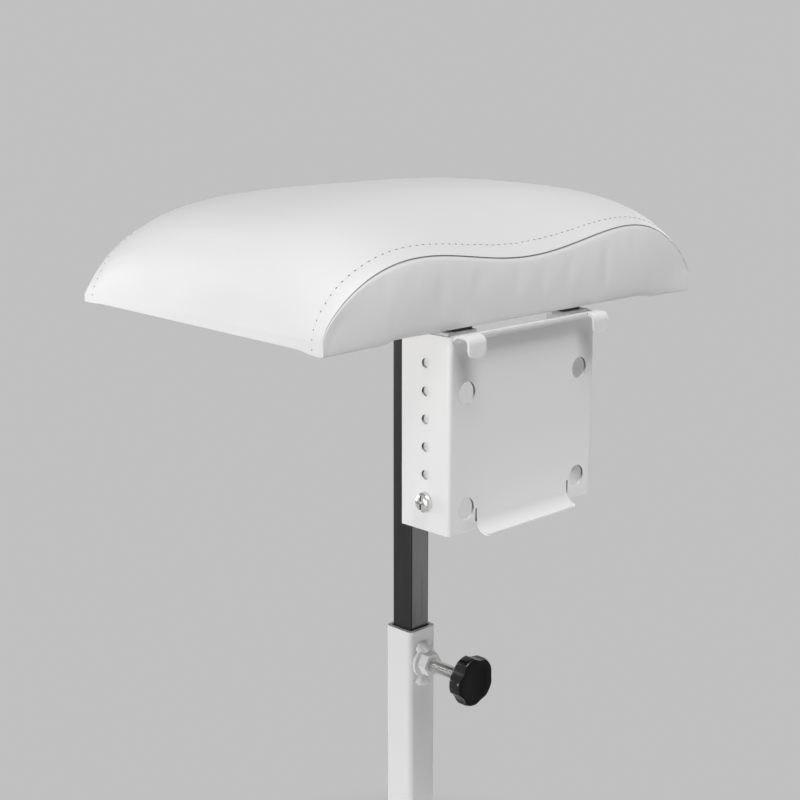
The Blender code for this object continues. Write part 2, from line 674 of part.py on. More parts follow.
def extrude_edges(bm, edges, move):
    """Pulls these edges out to a new row. move takes a vertex's place and gives the new one."""
    made = bmesh.ops.extrude_edge_only(bm, edges=edges)["geom"]
    for item in made:
        if isinstance(item, bmesh.types.BMVert):
            item.co = move(item.co)
    row = [item for item in made if isinstance(item, bmesh.types.BMEdge)]
    starts = {vertex for edge in edges for vertex in edge.verts}
    return [edge for edge in row if not starts & set(edge.verts)]


def edges_within(edges, low, high):
    """The edges whose middle lies between these two values of x."""
    return [edge for edge in edges if low < (edge.verts[0].co.x + edge.verts[1].co.x) / 2 < high]


def bracket_sheet(bm):
    """The bracket's outer skin: the web, then the lip and hooks, the lower edge and tongue, and the flanges."""
    slot_outer = SLOT_FROM_MIDDLE + SLOT_WIDTH / 2
    slot_inner = SLOT_FROM_MIDDLE - SLOT_WIDTH / 2
    web_end = HALF_BRACKET - FLANGE_BEND
    columns = [web_end, HOOK_OUTER, HOOK_OUTER - HOOK_WIDTH, slot_outer, slot_inner]
    columns = [-x for x in columns] + columns[::-1]
    slot_top = -SLOT_TOP_DROP
    row = [bm.verts.new((x, WEB_FRONT, slot_top)) for x in columns]
    first = [bm.edges.new(pair) for pair in zip(row, row[1:])]

    lip_under = -LIP_TOP_DROP - SHEET
    web_top = lip_under - LIP_BEND
    upper = extrude_edges(bm, first, lambda co: Vector((co.x, co.y, web_top)))
    upper = edges_within(upper, -HOOK_OUTER, HOOK_OUTER)
    bend = arc((WEB_FRONT - LIP_BEND, web_top), LIP_BEND, 0, math.pi / 2, BEND_STEPS)
    for y, z in bend[1:] + [(WEB_FRONT - LIP_REACH, lip_under)]:
        upper = extrude_edges(bm, upper, lambda co, y=y, z=z: Vector((co.x, y, z)))
    hook_face = WEB_FRONT - HOOK_REACH + SHEET
    hook_path = arc((hook_face + HOOK_BEND, lip_under - HOOK_BEND), HOOK_BEND, math.pi / 2, math.pi, BEND_STEPS)
    hook_path.append((hook_face, -LIP_TOP_DROP - HOOK_DROP))
    rounded = []
    for low, high in ((-HOOK_OUTER, -HOOK_OUTER + HOOK_WIDTH), (HOOK_OUTER - HOOK_WIDTH, HOOK_OUTER)):
        hook = edges_within(upper, low, high)
        for y, z in hook_path:
            hook = extrude_edges(bm, hook, lambda co, y=y, z=z: Vector((co.x, y, z)))
        rounded += [(vertex, HOOK_CORNER) for edge in hook for vertex in edge.verts]

    for low, high in ((-web_end, -slot_outer), (slot_outer, web_end)):
        corner = edges_within(first, low, high)
        extrude_edges(bm, corner, lambda co: Vector((co.x, co.y, FLANGE_BOTTOM)))
    tongue = edges_within(first, -slot_inner, slot_inner)
    tongue_end = WEB_FRONT - TONGUE_RADIUS
    bend_start = FLANGE_BOTTOM + TONGUE_RADIUS - SHEET
    path = arc((tongue_end, bend_start), TONGUE_RADIUS, 0, -math.pi / 2, BEND_STEPS)
    for y, z in path:
        tongue = extrude_edges(bm, tongue, lambda co, y=y, z=z: Vector((co.x, y, z)))
    rounded += [(vertex, TONGUE_CORNER) for edge in tongue for vertex in edge.verts]

    centre = (web_end, WEB_FRONT + FLANGE_BEND)
    flange_path = arc(centre, FLANGE_BEND, -math.pi / 2, 0, SHEET_CORNER_STEPS)[1:]
    flange_path.append((HALF_BRACKET, WEB_FRONT + BRACKET_DEPTH))
    for side in (-1, 1):
        flange = [edge for edge in bm.edges if edge.is_boundary and on_web_end(edge, side * web_end)]
        for x, y in flange_path:
            flange = extrude_edges(bm, flange, lambda co, x=x, y=y: Vector((side * x, y, co.z)))
        tops = [edge for edge in bm.edges if edge.is_boundary and on_flange_top(edge, side * web_end, web_top)]
        extrude_edges(bm, tops, lambda co: Vector((co.x, co.y, FLANGE_TOP)))
    return rounded


def on_web_end(edge, x):
    return all(abs(vertex.co.x - x) < SAME and abs(vertex.co.y - WEB_FRONT) < SAME for vertex in edge.verts)


def on_flange_top(edge, web_end, web_top):
    beyond = all(abs(vertex.co.x) > abs(web_end) - SAME for vertex in edge.verts)
    same_side = edge.verts[0].co.x * web_end > 0
    return beyond and same_side and all(abs(vertex.co.z - web_top) < SAME for vertex in edge.verts)


def make_bracket():
    bm = bmesh.new()
    rounded = bracket_sheet(bm)
    for radius in (HOOK_CORNER, TONGUE_CORNER):
        corners = [vertex for vertex, size in rounded if size == radius]
        bmesh.ops.bevel(
            bm,
            geom=list(dict.fromkeys(corners)),
            offset=radius,
            segments=SHEET_CORNER_STEPS,
            profile=0.5,
            affect="VERTICES",
            material=-1,
        )
    bm.normal_update()
    web = max(bm.faces, key=lambda face: face.calc_area())
    if web.normal.y > 0:
        bmesh.ops.reverse_faces(bm, faces=bm.faces)
    bracket = add_object("bracket", mesh_from(bm, "bracket"), WHITE_PAINT, SLIDE)
    sheet = bracket.modifiers.new("sheet", "SOLIDIFY")
    sheet.thickness = SHEET
    sheet.offset = -1
    sheet.use_even_offset = True
    for number in range(HOLE_COUNT):
        name = f"flange_hole_{number + 1}"
        mesh = cylinder_mesh(name, FLANGE_HOLE_RADIUS, BRACKET_WIDTH + 4 * SHEET, BOLT_HOLE_STEPS)
        place = (0, FLANGE_HOLE_Y, SIDE_SCREW_Z + number * HOLE_PITCH)
        cut(bracket, add_cutter(name, mesh, SLIDE, place, (0, math.pi / 2, 0)))
    for drop in (WEB_HOLE_UPPER_DROP, WEB_HOLE_LOWER_DROP):
        for x in (-WEB_HOLE_HALF_SPACING, WEB_HOLE_HALF_SPACING):
            name = f"web_hole_{x:.3f}_{drop:.3f}"
            mesh = cylinder_mesh(name, WEB_HOLE_RADIUS, 6 * SHEET)
            cut(bracket, add_cutter(name, mesh, SLIDE, (x, WEB_FRONT, -drop), (math.pi / 2, 0, 0)))


def make_hangers():
    """White angles: the long leg lies behind the bracket's flange and the short leg under the finger."""
    front = FLANGE_HOLE_Y - HANGER_DEPTH / 2
    bottom = SIDE_SCREW_Z - HANGER_BELOW_SCREW
    reach = HEAD_HALF_WIDTH - FINGER_WIDTH
    through = 6 * HANGER_SHEET
    screw_radius = WOOD_SCREW_RADIUS + HOLE_CLEARANCE
    screw_hole = cylinder_mesh("hanger_screw_hole", screw_radius, through, SCREW_HOLE_STEPS)
    side_hole = cylinder_mesh("side_screw_hole", FLANGE_HOLE_RADIUS, through, BOLT_HOLE_STEPS)
    for name, side in (("left", -1), ("right", 1)):
        bm = bmesh.new()
        start = [bm.verts.new((side * HANGER_OUTER, y, bottom)) for y in (front, front + HANGER_DEPTH)]
        row = [bm.edges.new(start)]
        bend = (HANGER_OUTER - HANGER_BEND, HANGER_TOP - HANGER_BEND)
        for x, z in arc(bend, HANGER_BEND, 0, math.pi / 2, CORNER_STEPS) + [(reach, HANGER_TOP)]:
            row = extrude_edges(bm, row, lambda co, x=x, z=z: Vector((side * x, co.y, z)))
        bm.normal_update()
        leg = max(bm.faces, key=lambda face: face.calc_area())
        if leg.normal.x * side < 0:
            bmesh.ops.reverse_faces(bm, faces=bm.faces)
        hanger = add_object(f"hanger_{name}", mesh_from(bm, f"hanger_{name}"), WHITE_PAINT, SLIDE)
        sheet = hanger.modifiers.new("sheet", "SOLIDIFY")
        sheet.thickness = HANGER_SHEET
        sheet.offset = -1
        sheet.use_even_offset = True
        place = (side * HANGER_OUTER, FLANGE_HOLE_Y, SIDE_SCREW_Z)
        cut(hanger, add_cutter(f"side_hole_{name}", side_hole, SLIDE, place, (0, math.pi / 2, 0)))
        for number, (x, y) in enumerate(hanger_screw_places(), 1):
            if x * side > 0:
                cut(hanger, add_cutter(f"hanger_hole_{number}", screw_hole, SLIDE, (x, y, HANGER_TOP)))


def make_side_screws():
    nut_seat = HANGER_OUTER - HANGER_SHEET - FIT_GAP
    nut_face = nut_seat - SIDE_NUT_THICKNESS
    head_seat = HALF_BRACKET + FIT_GAP
    length = head_seat - nut_face + SIDE_SCREW_PAST_NUT
    profile = pan_screw_profile(SIDE_SCREW_HEAD_RADIUS, SIDE_SCREW_HEAD_HEIGHT, SIDE_SCREW_RADIUS, length)
    nut = [hexagon(SIDE_NUT_FLATS), circle((0, 0), SIDE_SCREW_RADIUS + STUD_CLEARANCE, BOLT_HOLE_STEPS)]
    for name, side in (("left", -1), ("right", 1)):
        turn = (0, side * math.pi / 2, 0)
        place = (side * head_seat, FLANGE_HOLE_Y, SIDE_SCREW_Z)
        add_turned(f"side_screw_{name}", profile, ZINC, SLIDE, location=place, rotation=turn)
        place = (side * nut_face, FLANGE_HOLE_Y, SIDE_SCREW_Z)
        add_outline(
            f"side_nut_{name}", nut, 0, SIDE_NUT_THICKNESS, ZINC, SLIDE, location=place, rotation=turn
        )


make_base()
make_outer_tube()
make_clamp()
make_post_head()
make_board_and_foam()
make_cover()
make_end_flaps()
make_bracket()
make_hangers()
make_side_screws()
make_wood_screws()
print(len([item for item in FOOTREST.objects if item.type != "EMPTY"]), "pieces")
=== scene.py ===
# %% [markdown]
# # Dressing a pedicure footrest
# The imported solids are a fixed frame: they give every piece its place and size. This lesson dresses
# them. The leg cushion is sewn and blown up in a cloth simulation, the metal gets soft painted edges,
# and the clamp gets its thread, its welds and its fluted knob. Lengths are in metres and +Z is up.

# %% Load the solids into an empty scene
import json
import math

import bmesh
import bpy
from mathutils import Matrix, Vector, noise
from mathutils.bvhtree import BVHTree

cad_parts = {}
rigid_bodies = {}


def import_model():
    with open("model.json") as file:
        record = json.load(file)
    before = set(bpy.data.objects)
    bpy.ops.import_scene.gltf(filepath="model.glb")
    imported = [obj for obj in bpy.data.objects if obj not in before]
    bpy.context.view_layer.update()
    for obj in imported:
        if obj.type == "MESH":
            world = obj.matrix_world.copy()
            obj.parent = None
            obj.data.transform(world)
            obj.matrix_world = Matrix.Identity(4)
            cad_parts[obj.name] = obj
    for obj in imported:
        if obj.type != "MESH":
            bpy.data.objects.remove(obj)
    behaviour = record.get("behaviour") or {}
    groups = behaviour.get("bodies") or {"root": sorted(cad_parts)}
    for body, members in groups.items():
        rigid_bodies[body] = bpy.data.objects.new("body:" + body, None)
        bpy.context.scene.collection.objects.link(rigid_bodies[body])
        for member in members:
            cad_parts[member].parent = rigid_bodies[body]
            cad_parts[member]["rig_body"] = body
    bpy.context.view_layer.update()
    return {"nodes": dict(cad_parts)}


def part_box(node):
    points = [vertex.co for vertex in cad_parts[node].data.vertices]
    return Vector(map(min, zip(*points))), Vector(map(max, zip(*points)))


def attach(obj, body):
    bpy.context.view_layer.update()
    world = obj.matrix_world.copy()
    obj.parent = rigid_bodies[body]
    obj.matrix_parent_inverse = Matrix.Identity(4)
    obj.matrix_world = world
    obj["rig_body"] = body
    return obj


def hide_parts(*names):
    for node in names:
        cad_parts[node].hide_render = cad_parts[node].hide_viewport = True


for old in list(bpy.data.objects):
    bpy.data.objects.remove(old, do_unlink=True)
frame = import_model()
SOLIDS = frame["nodes"]
BODY_OF = {name: solid["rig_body"] for name, solid in SOLIDS.items()}
MM = 0.001

# %% [markdown]
# ## Camera
# The photograph looks down a little, from the front left, through a long lens. A camera could be
# moved by eye, but here its place was fitted to points on the bracket, the tubes and the cushion, so
# a render at the same frame lines up with the photograph.

# %% Camera
CAMERA_PLACE = Vector((-0.7826, -0.7818, 0.7653))
CAMERA_DOWN = math.radians(13.07)
CAMERA_TURN = math.radians(-44.58)
CAMERA_LENS = 65.66
SENSOR = 36.0

camera_data = bpy.data.cameras.new("photo_camera")
camera_data.lens = CAMERA_LENS
camera_data.sensor_width = SENSOR
camera = bpy.data.objects.new("photo_camera", camera_data)
camera.location = CAMERA_PLACE
camera.rotation_euler = (math.pi / 2 - CAMERA_DOWN, 0, CAMERA_TURN)
bpy.context.scene.collection.objects.link(camera)
bpy.context.scene.camera = camera
bpy.context.scene.view_settings.view_transform = "Standard"
print("camera", round(CAMERA_PLACE.xy.length, 3), "m from the post, lens", CAMERA_LENS)

# %% [markdown]
# ## Shader maths in plain Python
# A finish is a small web of nodes. Wiring them by hand hides the idea, so one class wraps a node's
# output and turns `+`, `-` and `*` into Math nodes. Every other node comes from one method.

# %% Socket arithmetic
class Shade:
    """One output of a shader node, which can be added, taken away and multiplied."""

    def __init__(self, web, socket):
        self.web = web
        self.socket = socket

    def maths(self, operation, first, second):
        """A Math node on two values or outputs."""
        return self.web.node("ShaderNodeMath", {"operation": operation}, {0: first, 1: second})

    def __add__(self, other):
        return self.maths("ADD", self, other)

    def __sub__(self, other):
        return self.maths("SUBTRACT", self, other)

    def __rsub__(self, other):
        return self.maths("SUBTRACT", other, self)

    def __mul__(self, other):
        return self.maths("MULTIPLY", self, other)

    __radd__ = __add__
    __rmul__ = __mul__


print("Math nodes ready")

# %% The nodes of a finish
class Web:
    """The nodes of one material, or of the world."""

    def __init__(self, owner):
        owner.use_nodes = True
        self.owner = owner
        self.nodes = owner.node_tree.nodes
        self.links = owner.node_tree.links

    def node(self, kind, settings=None, sockets=None, output=0):
        """Adds a node, sets it up, feeds its sockets and gives one of its outputs."""
        made = self.nodes.new(kind)
        for key, value in (settings or {}).items():
            if key == "stops":
                for element, (position, level) in zip(made.color_ramp.elements, value):
                    element.position = position
                    element.color = (level, level, level, 1)
            else:
                setattr(made, key, value)
        for key, value in (sockets or {}).items():
            self.feed(made, key, value)
        return Shade(self, self.find(made.outputs, output))

    def feed(self, node, key, value):
        """Links an output to a node's socket, or sets the socket's own value."""
        socket = self.find(node.inputs, key)
        if isinstance(value, Shade):
            self.links.new(value.socket, socket)
        else:
            socket.default_value = value

    def find(self, sockets, key):
        """A socket by its number, or by its name among those in use."""
        if isinstance(key, int):
            return sockets[key]
        return next(socket for socket in sockets if socket.name == key and socket.enabled)

    def blend(self, share, first, second):
        """A colour that goes from the first to the second as the share goes from 0 to 1."""
        settings = {"data_type": "RGBA", "clamp_factor": True}
        return self.node("ShaderNodeMix", settings, {"Factor": share, "A": first, "B": second}, "Result")


def grey(level, warmth=0.0):
    """A neutral colour, or a slightly warm one."""
    return (level * (1 + warmth), level, level * (1 - warmth), 1.0)


print("shader helpers ready")

# %% [markdown]
# ## Floor, backdrop and light
# The photograph has one even grey behind the object. The floor and the world show that grey to the
# camera and to mirror-like rays, while other rays meet an ordinary pale floor, so the floor still
# takes the object's shadow round its base. Soft lamps give the light. A level one on the right
# reaches the cushion's far end. Two small ones are there for their reflections: one low on the right
# for the black tube, and one behind on the left for the stud and the knob.

# %% World
BACKDROP = 0.527
AMBIENT = 0.02


def seen_directly(web):
    """1 on camera, mirror and glass rays, 0 on the soft light that surfaces send each other."""
    rays = ("Is Camera Ray", "Is Glossy Ray", "Is Transmission Ray")
    first, second, third = (web.node("ShaderNodeLightPath", output=ray) for ray in rays)
    return first + second + third


world = bpy.data.worlds.new("studio")
bpy.context.scene.world = world
sky = Web(world)
sky.feed(sky.nodes["Background"], "Color", sky.blend(seen_directly(sky), grey(AMBIENT), grey(BACKDROP)))
print("world grey", BACKDROP, "as seen and", AMBIENT, "as light")

# %% Floor paint
FLOOR_PALE = 0.55
SHADOW_FROM = 0.20
SHADOW_TO = 0.34

floor_paint = bpy.data.materials.new("floor_paint")
floor_web = Web(floor_paint)
floor_shader = floor_web.nodes["Principled BSDF"]
floor_shader.inputs["Base Color"].default_value = grey(FLOOR_PALE)
floor_shader.inputs["Roughness"].default_value = 1.0
floor_shader.inputs["Specular IOR Level"].default_value = 0.0
floor_place = floor_web.node("ShaderNodeTexCoord", output="Object")
from_post = floor_web.node("ShaderNodeVectorMath", {"operation": "LENGTH"}, {0: floor_place}, "Value")
limits = {"Value": from_post, "From Min": SHADOW_FROM, "From Max": SHADOW_TO}
far = floor_web.node("ShaderNodeMapRange", {"interpolation_type": "SMOOTHSTEP"}, limits, "Result")
glow = floor_web.node("ShaderNodeEmission", {}, {"Color": grey(BACKDROP), "Strength": 1.0})
lit = Shade(floor_web, floor_shader.outputs[0])
floor_mix = floor_web.node("ShaderNodeMixShader", {}, {0: far * seen_directly(floor_web), 1: lit, 2: glow})
floor_web.links.new(floor_mix.socket, floor_web.nodes["Material Output"].inputs["Surface"])
print("the floor's shadow fades out", SHADOW_TO, "m from the post")

# %% Floor
FLOOR_HALF = 12.0

floor_bm = bmesh.new()
bmesh.ops.create_grid(floor_bm, x_segments=1, y_segments=1, size=FLOOR_HALF)
floor_mesh = bpy.data.meshes.new("floor")
floor_bm.to_mesh(floor_mesh)
floor_bm.free()
floor_mesh.materials.append(floor_paint)
floor = bpy.data.objects.new("floor", floor_mesh)
bpy.context.scene.collection.objects.link(floor)
print("floor", 2 * FLOOR_HALF, "m wide")

# %% Softboxes
LIGHT_TARGET = Vector((0, 0, 0.50))
# Each lamp's place, width, height and power in watts
SOFTBOXES = {
    "left_low": (Vector((-1.9, -0.2, 0.25)), 1.2, 1.0, 26.0),
    "overhead": (Vector((-0.3, -0.9, 2.3)), 1.0, 0.8, 28.5),
    "front_high": (Vector((0.3, -1.7, 1.7)), 0.7, 0.7, 4.0),
    "back_low": (Vector((-0.5, 1.45, 0.5)), 0.6, 0.6, 8.5),
    "glint": (Vector((-1.15, 1.38, 1.15)), 0.30, 0.30, 1.6),
    "right_level": (Vector((2.0, 0.25, 0.85)), 0.8, 0.8, 5.0),
    "strip_right": (Vector((0.45, -0.46, 0.19)), 0.20, 0.26, 0.60),
}
for name, (place, width, height, power) in SOFTBOXES.items():
    lamp_data = bpy.data.lights.new(name, "AREA")
    lamp_data.shape = "RECTANGLE"
    lamp_data.size = width
    lamp_data.size_y = height
    lamp_data.energy = power
    lamp = bpy.data.objects.new(name, lamp_data)
    lamp.location = place
    lamp.visible_camera = False
    lamp.rotation_euler = (LIGHT_TARGET - place).to_track_quat("-Z", "Y").to_euler()
    bpy.context.scene.collection.objects.link(lamp)
print(len(SOFTBOXES), "softboxes")

# %% [markdown]
# ## Finishes
# Each finish reads Object coordinates, so its grain has a real size: a scale of 1000 repeats about
# once a millimetre. Bump heights are in metres too. A finish also reads what the pieces know about
# themselves: `edge` is 1 on a rounded edge, where the white coat gets a painted highlight and the
# black paint wears; `seam` is 1 in a sewn seam, where the leather gets painted shade; `valley` is 1
# at the root of a thread, where the zinc gets painted shade; and `front` is 1 on the knob's dull face.

# %% A finish and its grain
def finish(name, colour, roughness, **constants):
    """A material with its fixed values set straight on the shader."""
    web = Web(bpy.data.materials.new(name))
    web.shader = web.nodes["Principled BSDF"]
    web.shader.inputs["Base Color"].default_value = colour
    web.shader.inputs["Roughness"].default_value = roughness
    for key, value in constants.items():
        web.shader.inputs[key.replace("_", " ").title().replace("Ior", "IOR")].default_value = value
    web.place = web.node("ShaderNodeTexCoord", output="Object")
    return web


def grain(web, scale, detail=2.0, stretch=(1, 1, 1)):
    """Noise from 0 to 1 with this many features a metre, stretched where an axis is below 1."""
    spread = web.node("ShaderNodeVectorMath", {"operation": "MULTIPLY"}, {0: web.place, 1: stretch})
    return web.node("ShaderNodeTexNoise", {}, {"Vector": spread, "Scale": scale, "Detail": detail})


def ramp(web, value, low, high):
    """0 below low, 1 above high, straight between."""
    return web.node("ShaderNodeValToRGB", {"stops": ((low, 0), (high, 1))}, {"Fac": value})


def known(web, name):
    """A value that the piece stores on its own points."""
    return web.node("ShaderNodeAttribute", {"attribute_name": name}, output="Fac")


def emboss(web, height, depth, strength):
    """Bump of this depth in metres."""
    sockets = {"Height": height, "Distance": depth, "Strength": strength}
    web.feed(web.shader, "Normal", web.node("ShaderNodeBump", {}, sockets))


def paint(web, socket, value):
    """Feeds one of the shader's sockets."""
    web.feed(web.shader, socket, value)


def dapple(web, share, first, second):
    """Paints the piece from one grey to another as the share goes from 0 to 1."""
    paint(web, "Base Color", web.blend(share, grey(first), grey(second)))


print("finish helpers ready")

# %% [markdown]
# ### White faux leather
# The cover is a smooth coated cloth: small round pebbles under a satin skin, with no strong pattern.
# Voronoi cells give the pebbles, and fine noise breaks them up. The seam is painted dark, which is
# painted shade in its groove, and the white drifts a little over the cover, as a hand-cut sheet does.

# %% White faux leather
LEATHER_WHITE = 0.84
LEATHER_DRIFT = 0.81
SEAM_PAINTED_SHADE = 0.06
PEBBLES = 900.0
PEBBLE_DEPTH = 0.09 * MM

white_leather = finish("white_faux_leather", grey(LEATHER_WHITE), 0.46, specular_ior_level=0.42)
cells = {"Vector": white_leather.place, "Scale": PEBBLES, "Smoothness": 0.6}
pebbles = white_leather.node("ShaderNodeTexVoronoi", {"feature": "SMOOTH_F1"}, cells, "Distance")
pores = grain(white_leather, 2600.0)
emboss(white_leather, pebbles * 0.7 + pores * 0.3, PEBBLE_DEPTH, 0.5)
drift = grain(white_leather, 16.0)
sheet = white_leather.blend(drift, grey(LEATHER_WHITE), grey(LEATHER_DRIFT))
# Painted shade: the leather is painted near-black along the seam.
paint(white_leather, "Base Color", white_leather.blend(known(white_leather, "seam"), sheet, grey(SEAM_PAINTED_SHADE)))
paint(white_leather, "Roughness", 0.40 + 0.12 * pores)
print(white_leather.owner.name)

# %% [markdown]
# ### White powder coat and black paint
# Powder coat melts into a skin with faint orange peel, and its rounded edges are painted a little
# paler, a painted highlight. In punched holes and slits the walls are painted dark grey as painted
# shade, while walls that face up stay white, as if lit from above.
# The inner tube and the head plate are satin black, and the tube carries fine upright rub marks from
# sliding in its sleeve, which are noise stretched along Z.

# %% White powder coat
COAT_WHITE = 0.80
COAT_EDGE_HIGHLIGHT = 0.84
ORANGE_PEEL = 700.0
PEEL_DEPTH = 0.06 * MM

white_coat = finish("white_powder_coat", grey(COAT_WHITE), 0.4, specular_ior_level=0.5)
peel = grain(white_coat, ORANGE_PEEL)
speckle = grain(white_coat, 5200.0)
emboss(white_coat, peel * 0.8 + speckle * 0.2, PEEL_DEPTH, 0.5)
film = white_coat.blend(grain(white_coat, 22.0), grey(COAT_WHITE), grey(COAT_WHITE - 0.02))
# Painted highlight: the rounded edges are painted paler than the flat faces.
paint(white_coat, "Base Color", white_coat.blend(known(white_coat, "edge"), film, grey(COAT_EDGE_HIGHLIGHT)))
paint(white_coat, "Roughness", 0.34 + 0.14 * peel)
print(white_coat.owner.name)

# %% Painted shade in punched holes and slits
HOLE_SHADE_GREY = 0.13

hole_wall_shade = finish("painted_hole_shade", grey(HOLE_SHADE_GREY), 0.6, specular_ior_level=0.3)
wall_speckle = grain(hole_wall_shade, 900.0, 3.0)
wall = hole_wall_shade.node("ShaderNodeNewGeometry", output="Normal")
upward = hole_wall_shade.node("ShaderNodeSeparateXYZ", {}, {"Vector": wall}, "Z")
shaded_wall = hole_wall_shade.blend(wall_speckle, grey(HOLE_SHADE_GREY - 0.03), grey(HOLE_SHADE_GREY + 0.05))
# Painted shade: hole and slit walls are painted dark grey, and walls that face up are painted white.
paint(hole_wall_shade, "Base Color", hole_wall_shade.blend(ramp(hole_wall_shade, upward, 0.1, 0.8), shaded_wall, grey(COAT_WHITE)))
paint(hole_wall_shade, "Roughness", 0.5 + 0.2 * wall_speckle)
emboss(hole_wall_shade, wall_speckle, 0.05 * MM, 0.5)
print(hole_wall_shade.owner.name)

# %% Black satin paint
BLACK_FILM = 0.005
RUBBED = 0.02

black_coat = finish("black_satin_paint", grey(BLACK_FILM), 0.3, specular_ior_level=0.45)
flecks = grain(black_coat, 3200.0)
rubs = ramp(black_coat, grain(black_coat, 420.0, 3.0, (1, 1, 0.03)), 0.58, 0.74)
emboss(black_coat, flecks, 0.05 * MM, 0.6)
worn = rubs * 0.5 + known(black_coat, "edge") * 0.4
dapple(black_coat, worn, BLACK_FILM, RUBBED)
paint(black_coat, "Roughness", 0.24 + 0.10 * flecks + 0.08 * rubs)
print(black_coat.owner.name)

# %% Uncoated bore of the outer tube
BORE_DARK = 0.012
BORE_SCALE = 0.035

bare_bore = finish("bare_bore", grey(0.02), 0.6, specular_ior_level=0.2)
scale_marks = grain(bare_bore, 300.0, 4.0, (1, 1, 0.1))
dapple(bare_bore, scale_marks, BORE_DARK, BORE_SCALE)
paint(bare_bore, "Roughness", 0.5 + 0.3 * scale_marks)
emboss(bare_bore, scale_marks, 0.08 * MM, 0.5)
print(bare_bore.owner.name)

# %% [markdown]
# ### Zinc, plastic, rubber, thread and plywood
# Zinc plate is bright metal with a mottled polish, and its thread's roots are painted dark as painted
# shade. The knob is moulded near-black plastic. Rubber is dull. The thread is pale and fuzzy, its
# needle holes are dark beads of painted shade, and the seat board is raw plywood.

# %% Zinc plate
ZINC_BRIGHT = 0.88
ZINC_MOTTLED = 0.74
ZINC_WARMTH = 0.01
ZINC_ROOT_SHADE = 0.18

zinc = finish("zinc_plate", grey(0.68), 0.25, metallic=1.0)
mottle = grain(zinc, 380.0, 4.0)
plate = zinc.blend(mottle, grey(ZINC_BRIGHT), grey(ZINC_MOTTLED, ZINC_WARMTH))
# Painted shade: the thread's roots are painted dark.
paint(zinc, "Base Color", zinc.blend(known(zinc, "valley"), plate, grey(ZINC_ROOT_SHADE)))
paint(zinc, "Roughness", 0.10 + 0.20 * mottle)
emboss(zinc, grain(zinc, 2400.0), 0.02 * MM, 0.4)
print(zinc.owner.name)

# %% Moulded black plastic
KNOB_BLACK = 0.003
KNOB_CLOUD = 0.006
KNOB_GLOSS = 0.7

black_plastic = finish("moulded_black", grey(0.004), 0.2, specular_ior_level=0.11, coat_roughness=0.22)
skin_noise = grain(black_plastic, 1500.0, 3.0)
dapple(black_plastic, grain(black_plastic, 90.0), KNOB_BLACK, KNOB_CLOUD)
dull = known(black_plastic, "front")
paint(black_plastic, "Roughness", 0.14 + 0.10 * skin_noise + 0.50 * dull)
paint(black_plastic, "Coat Weight", KNOB_GLOSS - KNOB_GLOSS * dull)
emboss(black_plastic, skin_noise, 0.03 * MM, 0.5)
print(black_plastic.owner.name)

# %% Rubber
RUBBER_BLACK = 0.022
RUBBER_DUSTY = 0.05

black_rubber = finish("dull_rubber", grey(0.03), 0.8, specular_ior_level=0.3)
dust = grain(black_rubber, 140.0, 4.0)
dapple(black_rubber, dust, RUBBER_BLACK, RUBBER_DUSTY)
paint(black_rubber, "Roughness", 0.68 + 0.2 * dust)
emboss(black_rubber, grain(black_rubber, 2600.0), 0.06 * MM, 0.6)
print(black_rubber.owner.name)

# %% Thread and the painted shade of its needle holes
THREAD_SHADED = 0.70
THREAD_PALE = 0.86
NEEDLE_SHADE_DARK = 0.14
NEEDLE_SHADE_PALE = 0.30

thread = finish("white_thread", grey(0.80), 0.75, specular_ior_level=0.2)
fibres = grain(thread, 6000.0, 2.0, (0.2, 1, 1))
dapple(thread, fibres, THREAD_SHADED, THREAD_PALE)
emboss(thread, fibres, 0.06 * MM, 0.7)

# Painted shade: dark beads stand for the shade in the needle holes.
needle_hole_shade = finish("needle_hole_shade", grey(0.22), 0.9, specular_ior_level=0.1)
dapple(needle_hole_shade, grain(needle_hole_shade, 1800.0), NEEDLE_SHADE_DARK, NEEDLE_SHADE_PALE)
print(thread.owner.name, needle_hole_shade.owner.name)

# %% Plywood
VENEER_MEAN = (0.54, 0.48, 0.39, 1)
VENEER_PALE = (0.60, 0.54, 0.45, 1)
VENEER_DARK = (0.46, 0.40, 0.31, 1)

plywood = finish("raw_plywood", VENEER_MEAN, 0.7, specular_ior_level=0.3)
veneer = grain(plywood, 260.0, 5.0, (0.06, 1, 1))
paint(plywood, "Base Color", plywood.blend(veneer, VENEER_PALE, VENEER_DARK))
paint(plywood, "Roughness", 0.62 + 0.2 * veneer)
emboss(plywood, veneer, 0.15 * MM, 0.5)
print(plywood.owner.name)

# %% [markdown]
# ## Pieces that keep their solid's shape
# A solid comes in as loose triangles with knife-sharp edges. A copy of it is merged, flat faces are
# joined again, and its outer edges are rounded with a bevel, because paint never leaves a sharp edge
# and an edge without a radius catches no light. The rounded points get `edge` = 1 for the finish.
# The walls of holes and slits are found by their shape, so none is picked by hand, and they get a
# second material, which on the white pieces is painted shade.

# %% A new piece
SHARP = math.radians(38)


def add_piece(name, bm, web, node, stands_for=()):
    """Makes the object of a new piece. It rides on the node's body and hides the solids it stands for."""
    mesh = bpy.data.meshes.new(name)
    bm.to_mesh(mesh)
    bm.free()
    mesh.materials.append(web.owner)
    mesh.shade_smooth()
    mesh.set_sharp_from_angle(angle=SHARP)
    piece = bpy.data.objects.new(name, mesh)
    bpy.context.scene.collection.objects.link(piece)
    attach(piece, BODY_OF[node])
    if stands_for:
        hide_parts(*stands_for)
    print(name, len(mesh.polygons), "faces")
    return piece


print("pieces shade smooth up to", round(math.degrees(SHARP)), "degrees")

# %% Merged copies with marked holes
MERGE = 0.01 * MM
FLAT = math.radians(0.6)
HOLE_FACE = 5 * MM
SLIT_WIDTH = 3 * MM


